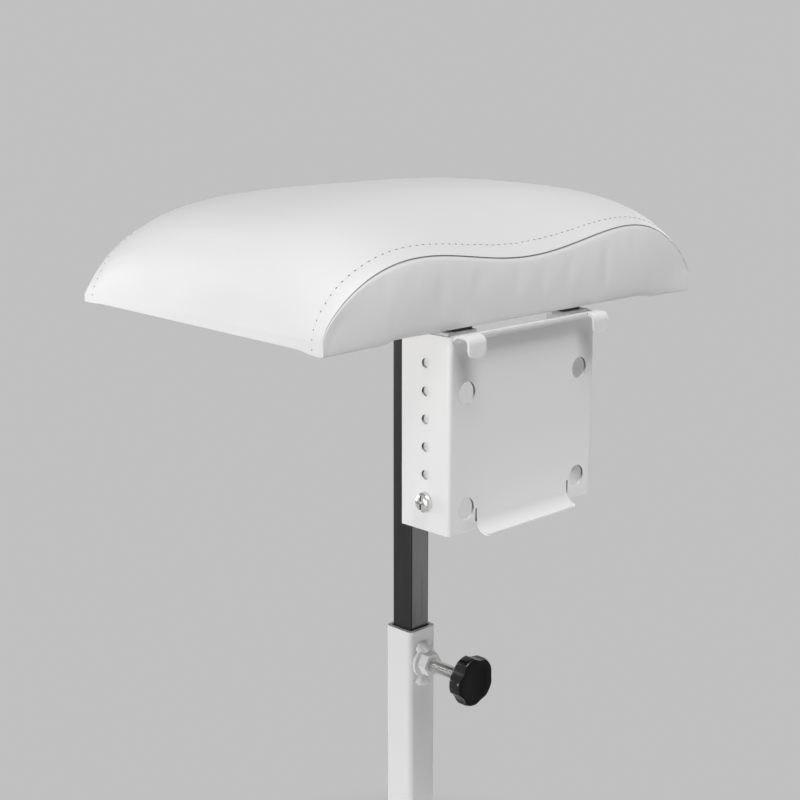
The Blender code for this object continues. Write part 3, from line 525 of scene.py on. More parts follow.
def mark_holes(bm):
    """Gives the walls of punched holes and slits the second material.

    Walls of a round hole are small and meet in hollow edges. Walls of a slit face each other.
    """
    tree = BVHTree.FromBMesh(bm)
    for face in bm.faces:
        edges = [edge for edge in face.edges if edge.is_manifold]
        small = max(edge.calc_length() for edge in edges) < HOLE_FACE
        in_hole = small and min(edge.calc_face_angle_signed() for edge in edges) < -FLAT
        start = face.calc_center_median() + MERGE * face.normal
        in_slit = tree.ray_cast(start, face.normal, SLIT_WIDTH)[0] is not None
        face.material_index = int(in_hole or in_slit)


def merged_copy(node, holes=False):
    """A bmesh of the solid with its triangles joined up, its punched holes marked on request."""
    bm = bmesh.new()
    bm.from_mesh(SOLIDS[node].data)
    bmesh.ops.remove_doubles(bm, verts=bm.verts, dist=MERGE)
    if holes:
        mark_holes(bm)
    bmesh.ops.dissolve_limit(bm, angle_limit=FLAT, verts=bm.verts, edges=bm.edges, delimit={"MATERIAL"})
    return bm


print("hole walls are under", round(HOLE_FACE / MM), "mm, slits under", round(SLIT_WIDTH / MM), "mm wide")

# %% Rounded edges
EDGE_SEGMENTS = 3


def reach_from_post(edge):
    """How far the edge's middle lies from the post's axis, along X or along Y."""
    middle = (edge.verts[0].co + edge.verts[1].co) / 2
    return max(abs(middle.x), abs(middle.y))


def soften_edges(bm, radius, bore=0.0):
    """Rounds the outer edges and marks the rounded points. A bore of this half width stays sharp."""
    edge_layer = bm.verts.layers.float.new("edge")
    sharp = [edge for edge in bm.edges if edge.is_manifold and edge.is_convex]
    sharp = [edge for edge in sharp if edge.calc_face_angle() > SHARP and reach_from_post(edge) > bore]
    made = bmesh.ops.bevel(
        bm,
        geom=sharp,
        offset=radius,
        segments=EDGE_SEGMENTS,
        profile=0.5,
        affect="EDGES",
        clamp_overlap=True,
        material=-1,
    )
    for face in made["faces"]:
        for vertex in face.verts:
            vertex[edge_layer] = 1.0


def flatten_shading(piece):
    """Keeps big faces flat beside their rounded edges."""
    modifier = piece.modifiers.new("flat_faces", "WEIGHTED_NORMAL")
    modifier.keep_sharp = True


print("edges round off in", EDGE_SEGMENTS, "steps")

# %% Painted and moulded solids
# Each solid's finish and the radius of its edges
KEPT_SHAPES = {
    "base_plate": (white_coat, 1.2 * MM),
    "clamp_washer": (white_coat, 0.6 * MM),
    "clamp_nut": (white_coat, 0.7 * MM),
    "bracket": (white_coat, 0.35 * MM),
    "hanger_left": (white_coat, 0.35 * MM),
    "hanger_right": (white_coat, 0.35 * MM),
    "inner_tube": (black_coat, 0.3 * MM),
    "head_plate": (black_coat, 0.4 * MM),
    "side_nut_left": (zinc, 0.35 * MM),
    "side_nut_right": (zinc, 0.35 * MM),
}
KEPT_SHAPES.update({f"foot_{number}": (black_rubber, 0.6 * MM) for number in range(1, 5)})
for node, (web, radius) in KEPT_SHAPES.items():
    copy = merged_copy(node, holes=True)
    soften_edges(copy, radius)
    piece = add_piece(f"{node}_finished", copy, web, node, [node])
    # White pieces get painted shade on their hole walls, the others keep their own finish there.
    hole_wall_finish = hole_wall_shade if web is white_coat else web
    piece.data.materials.append(hole_wall_finish.owner)
    flatten_shading(piece)
print(len(KEPT_SHAPES), "solids finished")

# %% Outer tube and board
TUBE_RIM = 1.8 * MM
BORE_MARGIN = 2 * MM
SLEEVE_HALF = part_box("inner_tube")[1].x + BORE_MARGIN

sleeve = merged_copy("outer_tube")
soften_edges(sleeve, TUBE_RIM, bore=SLEEVE_HALF)
sleeve_piece = add_piece("outer_tube_finished", sleeve, white_coat, "outer_tube", ["outer_tube"])
sleeve_piece.data.materials.append(bare_bore.owner)
for face in sleeve_piece.data.polygons:
    middle = face.center.xy
    outward = face.normal.xy.dot(middle)
    face.material_index = int(outward < -MM and max(map(abs, middle)) < SLEEVE_HALF)
flatten_shading(sleeve_piece)

SOLIDS["board"].data.materials.clear()
SOLIDS["board"].data.materials.append(plywood.owner)
print("tube rim rounded by", round(TUBE_RIM / MM, 1), "mm, and the board veneered")

# %% [markdown]
# ## The cushion's form
# The cushion is a wavy block. Its top panel rises from two sewn edges, front and back, that dip in
# the middle and fall away at both ends. It could be sculpted, but a few named sizes can be compared
# with the photograph and changed one by one. So a line's height comes from a wave or a crown and
# from a power that bends it down to the end.

# %% Size of the cushion
COVER_LOW, COVER_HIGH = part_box("cover")
BOTTOM = COVER_LOW.z
# The solid's side panels bulge by this much past its sewn edges
CAD_BULGE = 3.0 * MM
HALF_LENGTH = (COVER_HIGH.x - COVER_LOW.x) / 2
HALF_DEPTH = (COVER_HIGH.y - COVER_LOW.y) / 2 - CAD_BULGE
MIDDLE_Y = (COVER_HIGH.y + COVER_LOW.y) / 2
print("cushion", round(2 * HALF_LENGTH, 3), "m long and", round(2 * HALF_DEPTH, 3), "m deep at its seams")

# %% Heights of the sewn edges and the crown
SEAM_MEAN = 62.9 * MM
SEAM_SWING = -22 * MM
SEAM_LEAN = 20 * MM
HALF_WAVE = 209 * MM
WAVE_SHIFT = 17.7 * MM
RIDGE = 85.7 * MM
RIDGE_LEAN = 0.8 * MM
CROWN_POWER = 3.0
RIGHT_CROWN = 2.2
RIGHT_CROWN_FADE = 6
# Power and root of a line's fall to the left and to the right end
FRONT_FALL = {-1: (2.62, 0.67), 1: (1.98, 0.80)}
BACK_FALL = {-1: (4.25, 0.83), 1: (1.98, 0.80)}
RIDGE_FALL = {-1: (4.1, 0.35), 1: (2.24, 0.21)}
END_HEIGHT = {-1: 5.8 * MM, 1: 12.1 * MM}


def end_of(x):
    """-1 in the cushion's left half, 1 in its right half."""
    return 1 if x > 0 else -1


def fall_to_end(x, height, falls):
    """The height, which falls ever more steeply to the end's height."""
    power, root = falls[end_of(x)]
    end = END_HEIGHT[end_of(x)]
    return end + (height - end) * (1 - min(abs(x) / HALF_LENGTH, 1.0) ** power) ** root


def seam_height(x, y):
    """Height of the sewn edge on this side of the cushion, over its bottom."""
    swing = SEAM_SWING * math.cos(math.pi * (x - WAVE_SHIFT) / HALF_WAVE)
    height = SEAM_MEAN + SEAM_LEAN * x / HALF_LENGTH + swing
    return fall_to_end(x, height, BACK_FALL if y > MIDDLE_Y else FRONT_FALL)


def ridge_height(x):
    """Height of the cushion's crown, midway between its two sewn edges."""
    return fall_to_end(x, RIDGE + RIDGE_LEAN * x / HALF_LENGTH, RIDGE_FALL)


def top_height(x, y):
    """Height of the top panel. It rises from the sewn edges to the crown, fuller at the right end."""
    seam = seam_height(x, y)
    power = CROWN_POWER + RIGHT_CROWN * max(x / HALF_LENGTH, 0) ** RIGHT_CROWN_FADE
    rise = 1 - (abs(y - MIDDLE_Y) / HALF_DEPTH) ** power
    return seam + max(ridge_height(x) - seam, 0) * rise


for x in (-110 * MM, 0, 115 * MM):
    print(round(x / MM), "seam", round(seam_height(x, 0) / MM), "ridge", round(ridge_height(x) / MM), "mm")

# %% [markdown]
# ### Top panel
# A flat grid is bent over these lines. Its columns crowd to the ends and its rows to the seams, where
# the form bends most, so fewer faces are needed than in an even grid. One row lies on the stitch line
# and is pulled down a little.

# %% Top panel
COLUMNS = 110
ROWS = 36
COLUMN_CROWDING = 1.6
ROW_CROWDING = 2.0
STITCH_ROW = 5
STITCH_INSET = HALF_DEPTH * (2 * STITCH_ROW / ROWS) ** ROW_CROWDING
STITCH_PULL = 0.5 * MM


def add_panel(bm):
    """A flat panel of the cushion's outline. Its columns crowd to the ends, its rows to the seams."""
    points = bmesh.ops.create_grid(bm, x_segments=COLUMNS, y_segments=ROWS, size=1)["verts"]
    for vertex in points:
        along = math.copysign(1 - (1 - abs(vertex.co.x)) ** COLUMN_CROWDING, vertex.co.x)
        across = math.copysign(1 - (1 - abs(vertex.co.y)) ** ROW_CROWDING, vertex.co.y)
        vertex.co = (along * HALF_LENGTH, MIDDLE_Y + across * HALF_DEPTH, BOTTOM)
    return points


def bend_top(points):
    """Lifts a flat panel to the top's height, and lower on the stitch line."""
    for vertex in points:
        inward = HALF_DEPTH - abs(vertex.co.y - MIDDLE_Y)
        dip = STITCH_PULL if abs(inward - STITCH_INSET) < MERGE else 0
        vertex.co.z += top_height(vertex.co.x, vertex.co.y) - dip


print("stitches", round(STITCH_INSET / MM, 1), "mm in from the seams")

# %% [markdown]
# ### Seam and lower edge
# The thread pulls the seam in, and the pull fades where the seam runs down to a corner. At both ends
# the cover is folded under, so the lower edge steps down there. The left end also leans.

# %% Pull of the seam
SEAM_PULL = 1.5 * MM
SEAM_FADE_FROM = 4 * MM
SEAM_FADE_TO = 16 * MM
SEAM_FLAT = 0.7
BULGE_FROM = 70 * MM
BULGE_TO = 10 * MM


def ease(value, low, high):
    """0 below low, 1 above high, with a smooth start and end."""
    share = max(0.0, min(1.0, (value - low) / (high - low)))
    return share * share * (3 - 2 * share)


def near_end(x, far, near):
    """0 further than far from the cushion's ends, 1 nearer than near."""
    return ease(abs(x), HALF_LENGTH - far, HALF_LENGTH - near)


def seam_share(x, y):
    """1 along the sewn edge, fading where it runs down to the corners."""
    return ease(seam_height(x, y), SEAM_FADE_FROM, SEAM_FADE_TO)


def seam_depth(x, y):
    """How far the seam is pulled in, which is less where it falls to the right end."""
    flat = SEAM_FLAT * near_end(max(x, 0), BULGE_FROM, BULGE_TO)
    return SEAM_PULL * seam_share(x, y) * (1 - flat)


print("seam pulled in by", round(seam_depth(0, 0) / MM, 1), "mm")

# %% Lower edge
PLEAT_FROM = 26 * MM
PLEAT_TO = 6 * MM
BACK_PLEAT = 0.15
EDGE_DROP = 2.1 * MM
FOLD_DROP = 2.4 * MM
FOLD_STEP = 5 * MM
# Where the cover starts to be folded under, from the middle to the left and to the right
FOLD_START = {-1: 136 * MM, 1: 143 * MM}
END_LEAN = 2.1 * MM
END_LOW = 0.4 * MM
END_REACH = 40 * MM


def pleat_share(y):
    """1 at the corners, where the folded cover is thick, and 0 in between."""
    return ease(abs(y - MIDDLE_Y), HALF_DEPTH - PLEAT_FROM, HALF_DEPTH - PLEAT_TO)


def floor_height(point):
    """Height of the cushion's lower edge. It drops at the folds, and the left end leans forwards."""
    start = FOLD_START[end_of(point.x)]
    drop = EDGE_DROP + FOLD_DROP * ease(abs(point.x), start, start + FOLD_STEP)
    lean = 0.0
    if point.x < 0:
        lean = END_LEAN * (point.y - MIDDLE_Y) / HALF_DEPTH - END_LOW
        lean *= near_end(point.x, END_REACH, 0)
    pleat = pleat_share(point.y) * (BACK_PLEAT if point.y > MIDDLE_Y else 1)
    return lean * (1 - pleat) - drop * pleat


corner = Vector((HALF_LENGTH, MIDDLE_Y - HALF_DEPTH, 0))
print("front right corner drops", round(-floor_height(corner) / MM, 1), "mm below the solid's bottom")

# %% [markdown]
# ### Side panels, hem and the board's room
# The panel's open rim is extruded ring by ring: down the side panels, round the lower edge, under the
# board and up into the room that the board sits in. A second panel closes that room. Separate panels
# could be sewn by the cloth solver, but rings keep the seam exactly where the photograph shows it.

# %% Rings
SIDE_BULGE = 4.2 * MM
BULGE_FADE = 0.85
FULL_SIDE = 50 * MM


def on_seam(point):
    """Whether a point of the flat outline lies on one of the two sewn edges."""
    return abs(point.y - MIDDLE_Y) > HALF_DEPTH - MERGE


def open_edges(bm):
    """The edges that have a face on one side only."""
    return [edge for edge in bm.edges if edge.is_boundary]


def new_points(made):
    """The points among what an extrude made."""
    return [item for item in made["geom"] if isinstance(item, bmesh.types.BMVert)]


def pull_rim(bm, place):
    """Extrudes the open rim by one ring. place gives a point's new spot from where the rim began."""
    root = bm.verts.layers.float_vector["root"]
    for vertex in new_points(bmesh.ops.extrude_edge_only(bm, edges=open_edges(bm))):
        vertex.co = place(vertex[root])


def side_place(share):
    """A ring of the side panel, bulged outwards between the seam and the bottom."""

    def place(start):
        height = start.z - BOTTOM
        out = 0.0
        if on_seam(start):
            arch = math.sqrt(math.sin(math.pi * share))
            arch *= 1 - BULGE_FADE * near_end(start.x, BULGE_FROM, BULGE_TO)
            out = math.copysign(SIDE_BULGE * arch * min(1, height / FULL_SIDE), start.y - MIDDLE_Y)
        low = floor_height(start)
        return Vector((start.x, start.y + out, BOTTOM + low + (height - low) * (1 - share)))

    return place


def under_place(inset, height):
    """A ring under the cushion, drawn in by this much all round."""

    def place(start):
        across = (start.y - MIDDLE_Y) * (1 - inset / HALF_DEPTH)
        along = start.x * (1 - inset / HALF_LENGTH)
        low = height if height else floor_height(Vector((along, start.y, 0)))
        return Vector((along, MIDDLE_Y + across, BOTTOM + low))

    return place


print("side panels bulge by up to", round(SIDE_BULGE / MM, 1), "mm")

# %% Whole cushion
# Share of the side panel's height at each ring, from the seam down
SIDE_RINGS = (0.014, 0.045, 0.10, 0.20, 0.34, 0.50, 0.68, 0.85, 0.95)
HEM_EDGE = 1.8 * MM
HEM_WIDTH = 20 * MM
LEATHER = 1.5 * MM
BOARD_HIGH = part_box("board")[1]
GAP_BESIDE_BOARD = 0.8 * MM
GAP_OVER_BOARD = 0.3 * MM
BOARD_ROOM = HALF_LENGTH - BOARD_HIGH.x - GAP_BESIDE_BOARD
BOARD_ROOM_TOP = BOARD_HIGH.z - BOTTOM + GAP_OVER_BOARD
# Inset and height of each ring under the cushion. At height 0 it follows the lower edge
UNDER_RINGS = (
    (HEM_EDGE, 0),
    (HEM_WIDTH, 0),
    (HEM_WIDTH, LEATHER),
    (BOARD_ROOM, LEATHER),
    (BOARD_ROOM, BOARD_ROOM_TOP),
)
WRINKLE = 0.7 * MM
WRINKLES = 260
WRINKLE_LENGTH = 34 * MM
WRINKLE_HEIGHT = 18 * MM


def wrinkle_share(point):
    """1 at the foot of the side panels' outer corners, where the cover is gathered."""
    along = ease(abs(point.x), HALF_LENGTH - WRINKLE_LENGTH, HALF_LENGTH)
    return along * (1 - ease(point.z - BOTTOM, 0, WRINKLE_HEIGHT)) * on_seam(point)


def cushion_shape():
    """The closed form of the cushion, with creased and drawn-in seams and wrinkled corners."""
    bm = bmesh.new()
    bend_top(add_panel(bm))
    root = bm.verts.layers.float_vector.new("root")
    crease = bm.edges.layers.float.new("crease_edge")
    for vertex in bm.verts:
        vertex[root] = vertex.co
    seam_edges = [edge for edge in open_edges(bm) if all(on_seam(vertex.co) for vertex in edge.verts)]
    for share in SIDE_RINGS:
        pull_rim(bm, side_place(share))
    for inset, height in UNDER_RINGS:
        pull_rim(bm, under_place(inset, height))
    seat = under_place(BOARD_ROOM, BOARD_ROOM_TOP)
    for vertex in add_panel(bm):
        vertex.co = seat(vertex.co)
    bmesh.ops.remove_doubles(bm, verts=bm.verts, dist=MERGE)
    bmesh.ops.recalc_face_normals(bm, faces=bm.faces)
    for vertex in bm.verts:
        vertex.co.y += WRINKLE * wrinkle_share(vertex.co) * noise.noise(vertex.co * WRINKLES)
    for edge in seam_edges:
        edge[crease] = 1.0
    for vertex in {vertex for edge in seam_edges for vertex in edge.verts}:
        vertex.co.y -= math.copysign(seam_depth(*vertex.co.xy), vertex.co.y - MIDDLE_Y)
    return bm


cushion_bm = cushion_shape()
print("cushion shape", len(cushion_bm.faces), "faces")

# %% [markdown]
# ## Blowing the cushion up
# Foam pushes the cover out between the lines that hold it. Cloth with pressure does the same: the
# seams, the bottom and the hem are pinned, and the panels swell. The simulation starts a little
# smaller than the real cushion. Only the outward part of each point's move is kept, and only so much
# of it, so the photographed form stays.

# %% Where the cover is held
PIN_BAND = 3.0 * MM
SWELL_BAND = 14 * MM


def seam_distance(point):
    """Distance from the nearer sewn edge, in the plane across the cushion."""
    aside = HALF_DEPTH - abs(point.y - MIDDLE_Y)
    return math.hypot(aside, point.z - BOTTOM - seam_height(*point.xy))


def free_share(point):
    """0 where the cover is held, 1 where it can swell freely."""
    from_seam = (seam_distance(point) - PIN_BAND) / SWELL_BAND
    from_bottom = (point.z - BOTTOM - 2 * PIN_BAND) / SWELL_BAND
    return max(0.0, min(1.0, from_seam, from_bottom))


print("the cover is free from", round((PIN_BAND + SWELL_BAND) / MM), "mm beside a seam")

# %% Swelling
SWELL = 1.2 * MM
PRESSURE = 8.0
SLACK = 0.004
STIFFNESS = 25
BENDING = 4
CLOTH_STEPS = 6
CLOTH_FRAMES = 20


def swell(cushion):
    """Draws the free panels in, blows them up with cloth pressure and keeps a capped result."""
    mesh = cushion.data
    held = cushion.vertex_groups.new(name="held")
    outward = [vertex.normal.copy() for vertex in mesh.vertices]
    caps = [SWELL * free_share(vertex.co) for vertex in mesh.vertices]
    for vertex, out, cap in zip(mesh.vertices, outward, caps):
        held.add([vertex.index], 0.0 if cap else 1.0, "REPLACE")
        vertex.co -= out * cap
    starts = [vertex.co.copy() for vertex in mesh.vertices]
    cloth = cushion.modifiers.new("blow_up", "CLOTH")
    cloth.settings.quality = CLOTH_STEPS
    cloth.settings.tension_stiffness = STIFFNESS
    cloth.settings.compression_stiffness = STIFFNESS
    cloth.settings.bending_stiffness = BENDING
    cloth.settings.use_pressure = True
    cloth.settings.uniform_pressure_force = PRESSURE
    cloth.settings.shrink_min = -SLACK
    cloth.settings.vertex_group_mass = "held"
    cloth.settings.effector_weights.gravity = 0
    for number in range(1, CLOTH_FRAMES + 1):
        bpy.context.scene.frame_set(number)
    blown = cushion.evaluated_get(bpy.context.evaluated_depsgraph_get())
    ends = [vertex.co.copy() for vertex in blown.data.vertices]
    cushion.modifiers.remove(cloth)
    full = 0
    for vertex, start, end, out, cap in zip(mesh.vertices, starts, ends, outward, caps):
        swelled = max(0.0, min(cap, (end - start).dot(out)))
        full += 0 < cap == swelled
        vertex.co = start + out * swelled
    bpy.context.scene.frame_set(1)
    mesh.update()
    print(full, "of", sum(cap > 0 for cap in caps), "free points swelled as far as they may")


cushion = add_piece("cushion", cushion_bm, white_leather, "cover", ["cover", "foam_core"])
swell(cushion)

# %% Seam shade and a finer skin
SEAM_SHADE = 0.2 * MM
EDGE_SHADE = 0.6
EDGE_SHADE_DEPTH = 1.3 * MM

# The seam attribute is painted shade: the seam's groove is painted dark, and near the right end a painted
# dark line lies just below the seam on the side panel.
seam_shade_layer = cushion.data.attributes.new("seam", "FLOAT", "POINT")
painted_shades = []
for vertex in cushion.data.vertices:
    aside = HALF_DEPTH - abs(vertex.co.y - MIDDLE_Y) - seam_depth(*vertex.co.xy)
    above = vertex.co.z - BOTTOM - seam_height(*vertex.co.xy)
    shade = 0.0
    if math.hypot(aside, above) < SEAM_SHADE:
        shade = seam_share(*vertex.co.xy)
    elif -EDGE_SHADE_DEPTH < above < 0 and aside < 0:
        shade = EDGE_SHADE * near_end(max(vertex.co.x, 0), BULGE_FROM, BULGE_TO)
    painted_shades.append(shade)
seam_shade_layer.data.foreach_set("value", painted_shades)
finer = cushion.modifiers.new("finer", "SUBSURF")
finer.levels = 1
finer.render_levels = 1
print("cushion skin", 4 * len(cushion.data.polygons), "faces when shown")

# %% [markdown]
# ## Top stitching
# A row of stitches runs beside each seam and holds the seam allowance down. Each stitch is a short
# bead of thread that dives into a needle hole at both ends, and each hole is a dark bead of painted
# shade, longer where the skin lies level. Beads are stretched spheres with few faces, turned along
# the row and set on the finished skin by asking it for its nearest point.

# %% Stitch line
STITCH_PITCH = 6.3 * MM
ROW_SAMPLES = 900
FOOT_SAMPLES = 12


def stitch_line(side):
    """Points along one seam's stitch line, which runs down to the bottom edge at the left end."""
    across = MIDDLE_Y + side * (HALF_DEPTH - STITCH_INSET)
    foot = top_height(-HALF_LENGTH, across)
    line = []
    for step in range(FOOT_SAMPLES):
        line.append(Vector((-HALF_LENGTH, across, BOTTOM + foot * step / FOOT_SAMPLES)))
    for sample in range(ROW_SAMPLES + 1):
        x = HALF_LENGTH * math.sin(math.pi * (sample / ROW_SAMPLES - 0.5))
        line.append(Vector((x, across, BOTTOM + top_height(x, across))))
    return line


def stitch_row(skin, side):
    """Places and normals on the skin at an even pitch along one stitch line."""
    places = []
    travelled = STITCH_PITCH
    last = None
    for point in stitch_line(side):
        place, normal, _, _ = skin.find_nearest(point)
        travelled += (place - last).length if last else 0
        last = place
        if travelled >= STITCH_PITCH:
            travelled -= STITCH_PITCH
            places.append((place, normal))
    return places


print("stitches every", round(STITCH_PITCH / MM, 1), "mm")

# %% Stitches
STITCH_LENGTH = 4.3 * MM
THREAD_WIDTH = 0.8 * MM
THREAD_HEIGHT = 0.55 * MM
# Size of the dark beads of painted shade in the needle holes
HOLE_SHADE_SHORT = 1.3 * MM
HOLE_SHADE_LONG = 2.5 * MM
HOLE_SHADE_WIDTH = 0.95 * MM
HOLE_SHADE_HEIGHT = 0.4 * MM
STEEP = 0.55
LEVEL = 0.85
BEAD_SEGMENTS = 6


def add_bead(bm, place, along, up, size):
    """One stretched sphere, lying along a direction on the skin."""
    across = up.cross(along).normalized()
    lie = Matrix((along, across, up)).transposed().to_4x4()
    matrix = Matrix.Translation(place) @ lie @ Matrix.Diagonal((*size, 1))
    bmesh.ops.create_uvsphere(
        bm, u_segments=BEAD_SEGMENTS, v_segments=BEAD_SEGMENTS - 1, radius=0.5, matrix=matrix
    )


skin = BVHTree.FromObject(cushion, bpy.context.evaluated_depsgraph_get())
for label, side in (("front", -1), ("back", 1)):
    row = stitch_row(skin, side)
    beads = bmesh.new()
    holes = bmesh.new()
    for (first, up), (second, _) in zip(row, row[1:]):
        along = (second - first).normalized()
        add_bead(beads, (first + second) / 2, along, up, (STITCH_LENGTH, THREAD_WIDTH, THREAD_HEIGHT))
        # The painted shade in a needle hole is longer where the skin lies level.
        shade_length = HOLE_SHADE_SHORT + (HOLE_SHADE_LONG - HOLE_SHADE_SHORT) * ease(up.z, STEEP, LEVEL)
        add_bead(holes, first, along, up, (shade_length, HOLE_SHADE_WIDTH, HOLE_SHADE_HEIGHT))
    add_piece(f"stitches_{label}", beads, thread, "cover")
    add_piece(f"needle_hole_shades_{label}", holes, needle_hole_shade, "cover")
    print(label, "row has", len(row), "stitches")

# %% [markdown]
# ## End flaps
# At both ends the cover is folded under the board, and the fold shows as a thin soft strip. The
# strip is thick at the pleated corners and thins out towards the cushion's end between them. Its
# edges are rounded, and a little noise makes the leather uneven.

# %% End flaps
FLAP_ROUND = 1.5 * MM
FLAP_INSET = 2.0 * MM
FLAP_END_INSET = 14 * MM
FLAP_OVERLAP = 1.0 * MM
FLAP_WAVE = 0.3 * MM
FLAP_WAVES = 70
FLAP_TAPER = 24 * MM
FLAP_CUTS = 18
for node in ("end_flap_left", "end_flap_right"):
    low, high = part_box(node)
    low += Vector((FLAP_END_INSET, FLAP_INSET, 0))
    high -= Vector((FLAP_END_INSET, FLAP_INSET, 0))
    if low.x < 0:
        high.x = -FOLD_START[-1] - FOLD_STEP
    else:
        low.x = FOLD_START[1] + FOLD_STEP
    flap = bmesh.new()
    size = Matrix.Diagonal((*(high - low), 1))
    bmesh.ops.create_cube(flap, size=1, matrix=Matrix.Translation((low + high) / 2) @ size)
    below = [edge for edge in flap.edges if all(vertex.co.z < low.z + MM for vertex in edge.verts)]
    upright = [edge for edge in flap.edges if abs(edge.verts[0].co.z - edge.verts[1].co.z) > MM]
    bmesh.ops.bevel(
        flap,
        geom=below + upright,
        offset=FLAP_ROUND,
        segments=4,
        profile=0.5,
        affect="EDGES",
        material=-1,
    )
    lengthwise = [edge for edge in flap.edges if edge.calc_length() > HEM_WIDTH]
    bmesh.ops.subdivide_edges(flap, edges=lengthwise, cuts=FLAP_CUTS, use_grid_fill=True)
    for vertex in flap.verts:
        from_end = max(abs(low.x), abs(high.x)) - abs(vertex.co.x)
        share = max(ease(from_end, 0, FLAP_TAPER), pleat_share(vertex.co.y))
        if vertex.co.z > high.z - MM / 2:
            vertex.co.z += FLAP_OVERLAP
        else:
            uneven = FLAP_WAVE * noise.noise(vertex.co * FLAP_WAVES)
            vertex.co.z = high.z - (high.z - vertex.co.z) * share + uneven
    add_piece(f"{node}_folded", flap, white_leather, node, [node])

# %% [markdown]
# ## Clamp stud
# The stud is an M10 screw, and its thread shows between the nut and the knob. One tooth of the
# profile is spun round the axis while it climbs by the pitch, which is what Blender's spin does with
# a dvec. The turns then share their roots, and two planes cut the ends square.

# %% Thread
STUD_LOW, STUD_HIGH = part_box("clamp_stud")
TUBE_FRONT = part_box("outer_tube")[0].y
CLAMP_AT = Vector((0, TUBE_FRONT, (STUD_LOW.z + STUD_HIGH.z) / 2))
# Local +Z of the clamp points out of the tube's front, and local +Y points up
CLAMP_FRAME = Matrix.Translation(CLAMP_AT) @ Matrix.Rotation(math.pi / 2, 4, "X")
STUD_RADIUS = (STUD_HIGH.z - STUD_LOW.z) / 2
STUD_TIP = TUBE_FRONT - STUD_HIGH.y
STUD_END = TUBE_FRONT - STUD_LOW.y
THREAD_PITCH = 1.5 * MM
THREAD_DEPTH = 0.85 * MM
THREAD_STEPS = 20
# Where a tooth's flat crest starts and ends, as shares of the pitch
CREST = (0.34, 0.66)


def thread_shape():
    """The threaded stud, with the depth of its valleys stored on its points."""
    bm = bmesh.new()
    root = STUD_RADIUS - THREAD_DEPTH
    tooth = ((root, 0), (STUD_RADIUS, CREST[0]), (STUD_RADIUS, CREST[1]), (root, 1))
    points = [bm.verts.new((radius, 0, STUD_TIP + (up - 1) * THREAD_PITCH)) for radius, up in tooth]
    edges = [bm.edges.new(pair) for pair in zip(points, points[1:])]
    turns = math.ceil((STUD_END - STUD_TIP) / THREAD_PITCH) + 1
    bmesh.ops.spin(
        bm,
        geom=points + edges,
        axis=(0, 0, 1),
        dvec=(0, 0, THREAD_PITCH / THREAD_STEPS),
        angle=2 * math.pi * turns,
        steps=THREAD_STEPS * turns,
    )
    bmesh.ops.remove_doubles(bm, verts=bm.verts, dist=MERGE)
    for height, facing in ((STUD_TIP, -1), (STUD_END, 1)):
        geometry = bm.verts[:] + bm.edges[:] + bm.faces[:]
        bmesh.ops.bisect_plane(
            bm, geom=geometry, plane_co=(0, 0, height), plane_no=(0, 0, facing), clear_outer=True
        )
    bmesh.ops.holes_fill(bm, edges=open_edges(bm))
    bmesh.ops.recalc_face_normals(bm, faces=bm.faces)
    valley = bm.verts.layers.float.new("valley")
    for vertex in bm.verts:
        vertex[valley] = (STUD_RADIUS - vertex.co.xy.length) / THREAD_DEPTH
    bmesh.ops.transform(bm, matrix=CLAMP_FRAME, verts=bm.verts)
    return bm


add_piece("clamp_stud_threaded", thread_shape(), zinc, "clamp_stud", ["clamp_stud"])

# %% [markdown]
# ## Fluted knob
# The knob is a moulded disc with five wide scallops in its side for the fingers, rounded rims and a
# shallow round step in its front. A circle is extruded ring by ring. Each ring takes the disc's own
# radius or the scallop's, whichever is smaller, with a soft blend where the two meet.

# %% Rings of the knob
KNOB_LOW, KNOB_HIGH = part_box("clamp_knob")
KNOB_BACK = TUBE_FRONT - KNOB_HIGH.y
KNOB_THICK = KNOB_HIGH.y - KNOB_LOW.y
KNOB_RADIUS = 20 * MM
FLUTES = 5
FLUTE_RADIUS = 15 * MM
FLUTE_DEPTH = 2.9 * MM
FLUTE_PHASE = math.radians(2)
FLUTE_BLEND = 0.5 * MM
BACK_ROUND = 3.2 * MM
FRONT_ROUND = 3.4 * MM
ROUND_STEPS = 9


def flute_radius(angle):
    """Distance from the axis to the nearest scallop's arc at this angle."""
    turn = 2 * math.pi / FLUTES
    off = (angle - FLUTE_PHASE + turn / 2) % turn - turn / 2
    centre = KNOB_RADIUS - FLUTE_DEPTH + FLUTE_RADIUS
    inside = max(0, FLUTE_RADIUS**2 - (centre * math.sin(off)) ** 2)
    return centre * math.cos(off) - math.sqrt(inside)


def knob_profile():
    """(radius, height) of each ring of the plain disc, from the back to the front face."""
    rings = []
    for step in range(ROUND_STEPS + 1):
        turn = math.pi / 2 * step / ROUND_STEPS
        rings.append((KNOB_RADIUS - BACK_ROUND * (1 - math.sin(turn)), BACK_ROUND * (1 - math.cos(turn))))
    for step in range(ROUND_STEPS + 1):
        turn = math.pi / 2 * step / ROUND_STEPS
        height = KNOB_THICK - FRONT_ROUND * (1 - math.sin(turn))
        rings.append((KNOB_RADIUS - FRONT_ROUND * (1 - math.cos(turn)), height))
    return rings


def set_ring(points, radius, height, fluted=True):
    """Sets a ring to this radius, or to the scallops where they lie deeper."""
    for vertex in points:
        angle = math.atan2(vertex.co.y, vertex.co.x)
        reach = radius
        if fluted:
            flute = flute_radius(angle)
            reach = (radius + flute - math.hypot(radius - flute, FLUTE_BLEND)) / 2
        vertex.co = (reach * math.cos(angle), reach * math.sin(angle), KNOB_BACK + height)


print("knob of", len(knob_profile()), "rings with", FLUTES, "scallops")

# %% Knob
KNOB_POINTS = 150
DISH_RADIUS = 11.5 * MM
DISH_DEPTH = 0.6 * MM
DISH_RINGS = 3
FRONT_FACE = 0.9 * MM


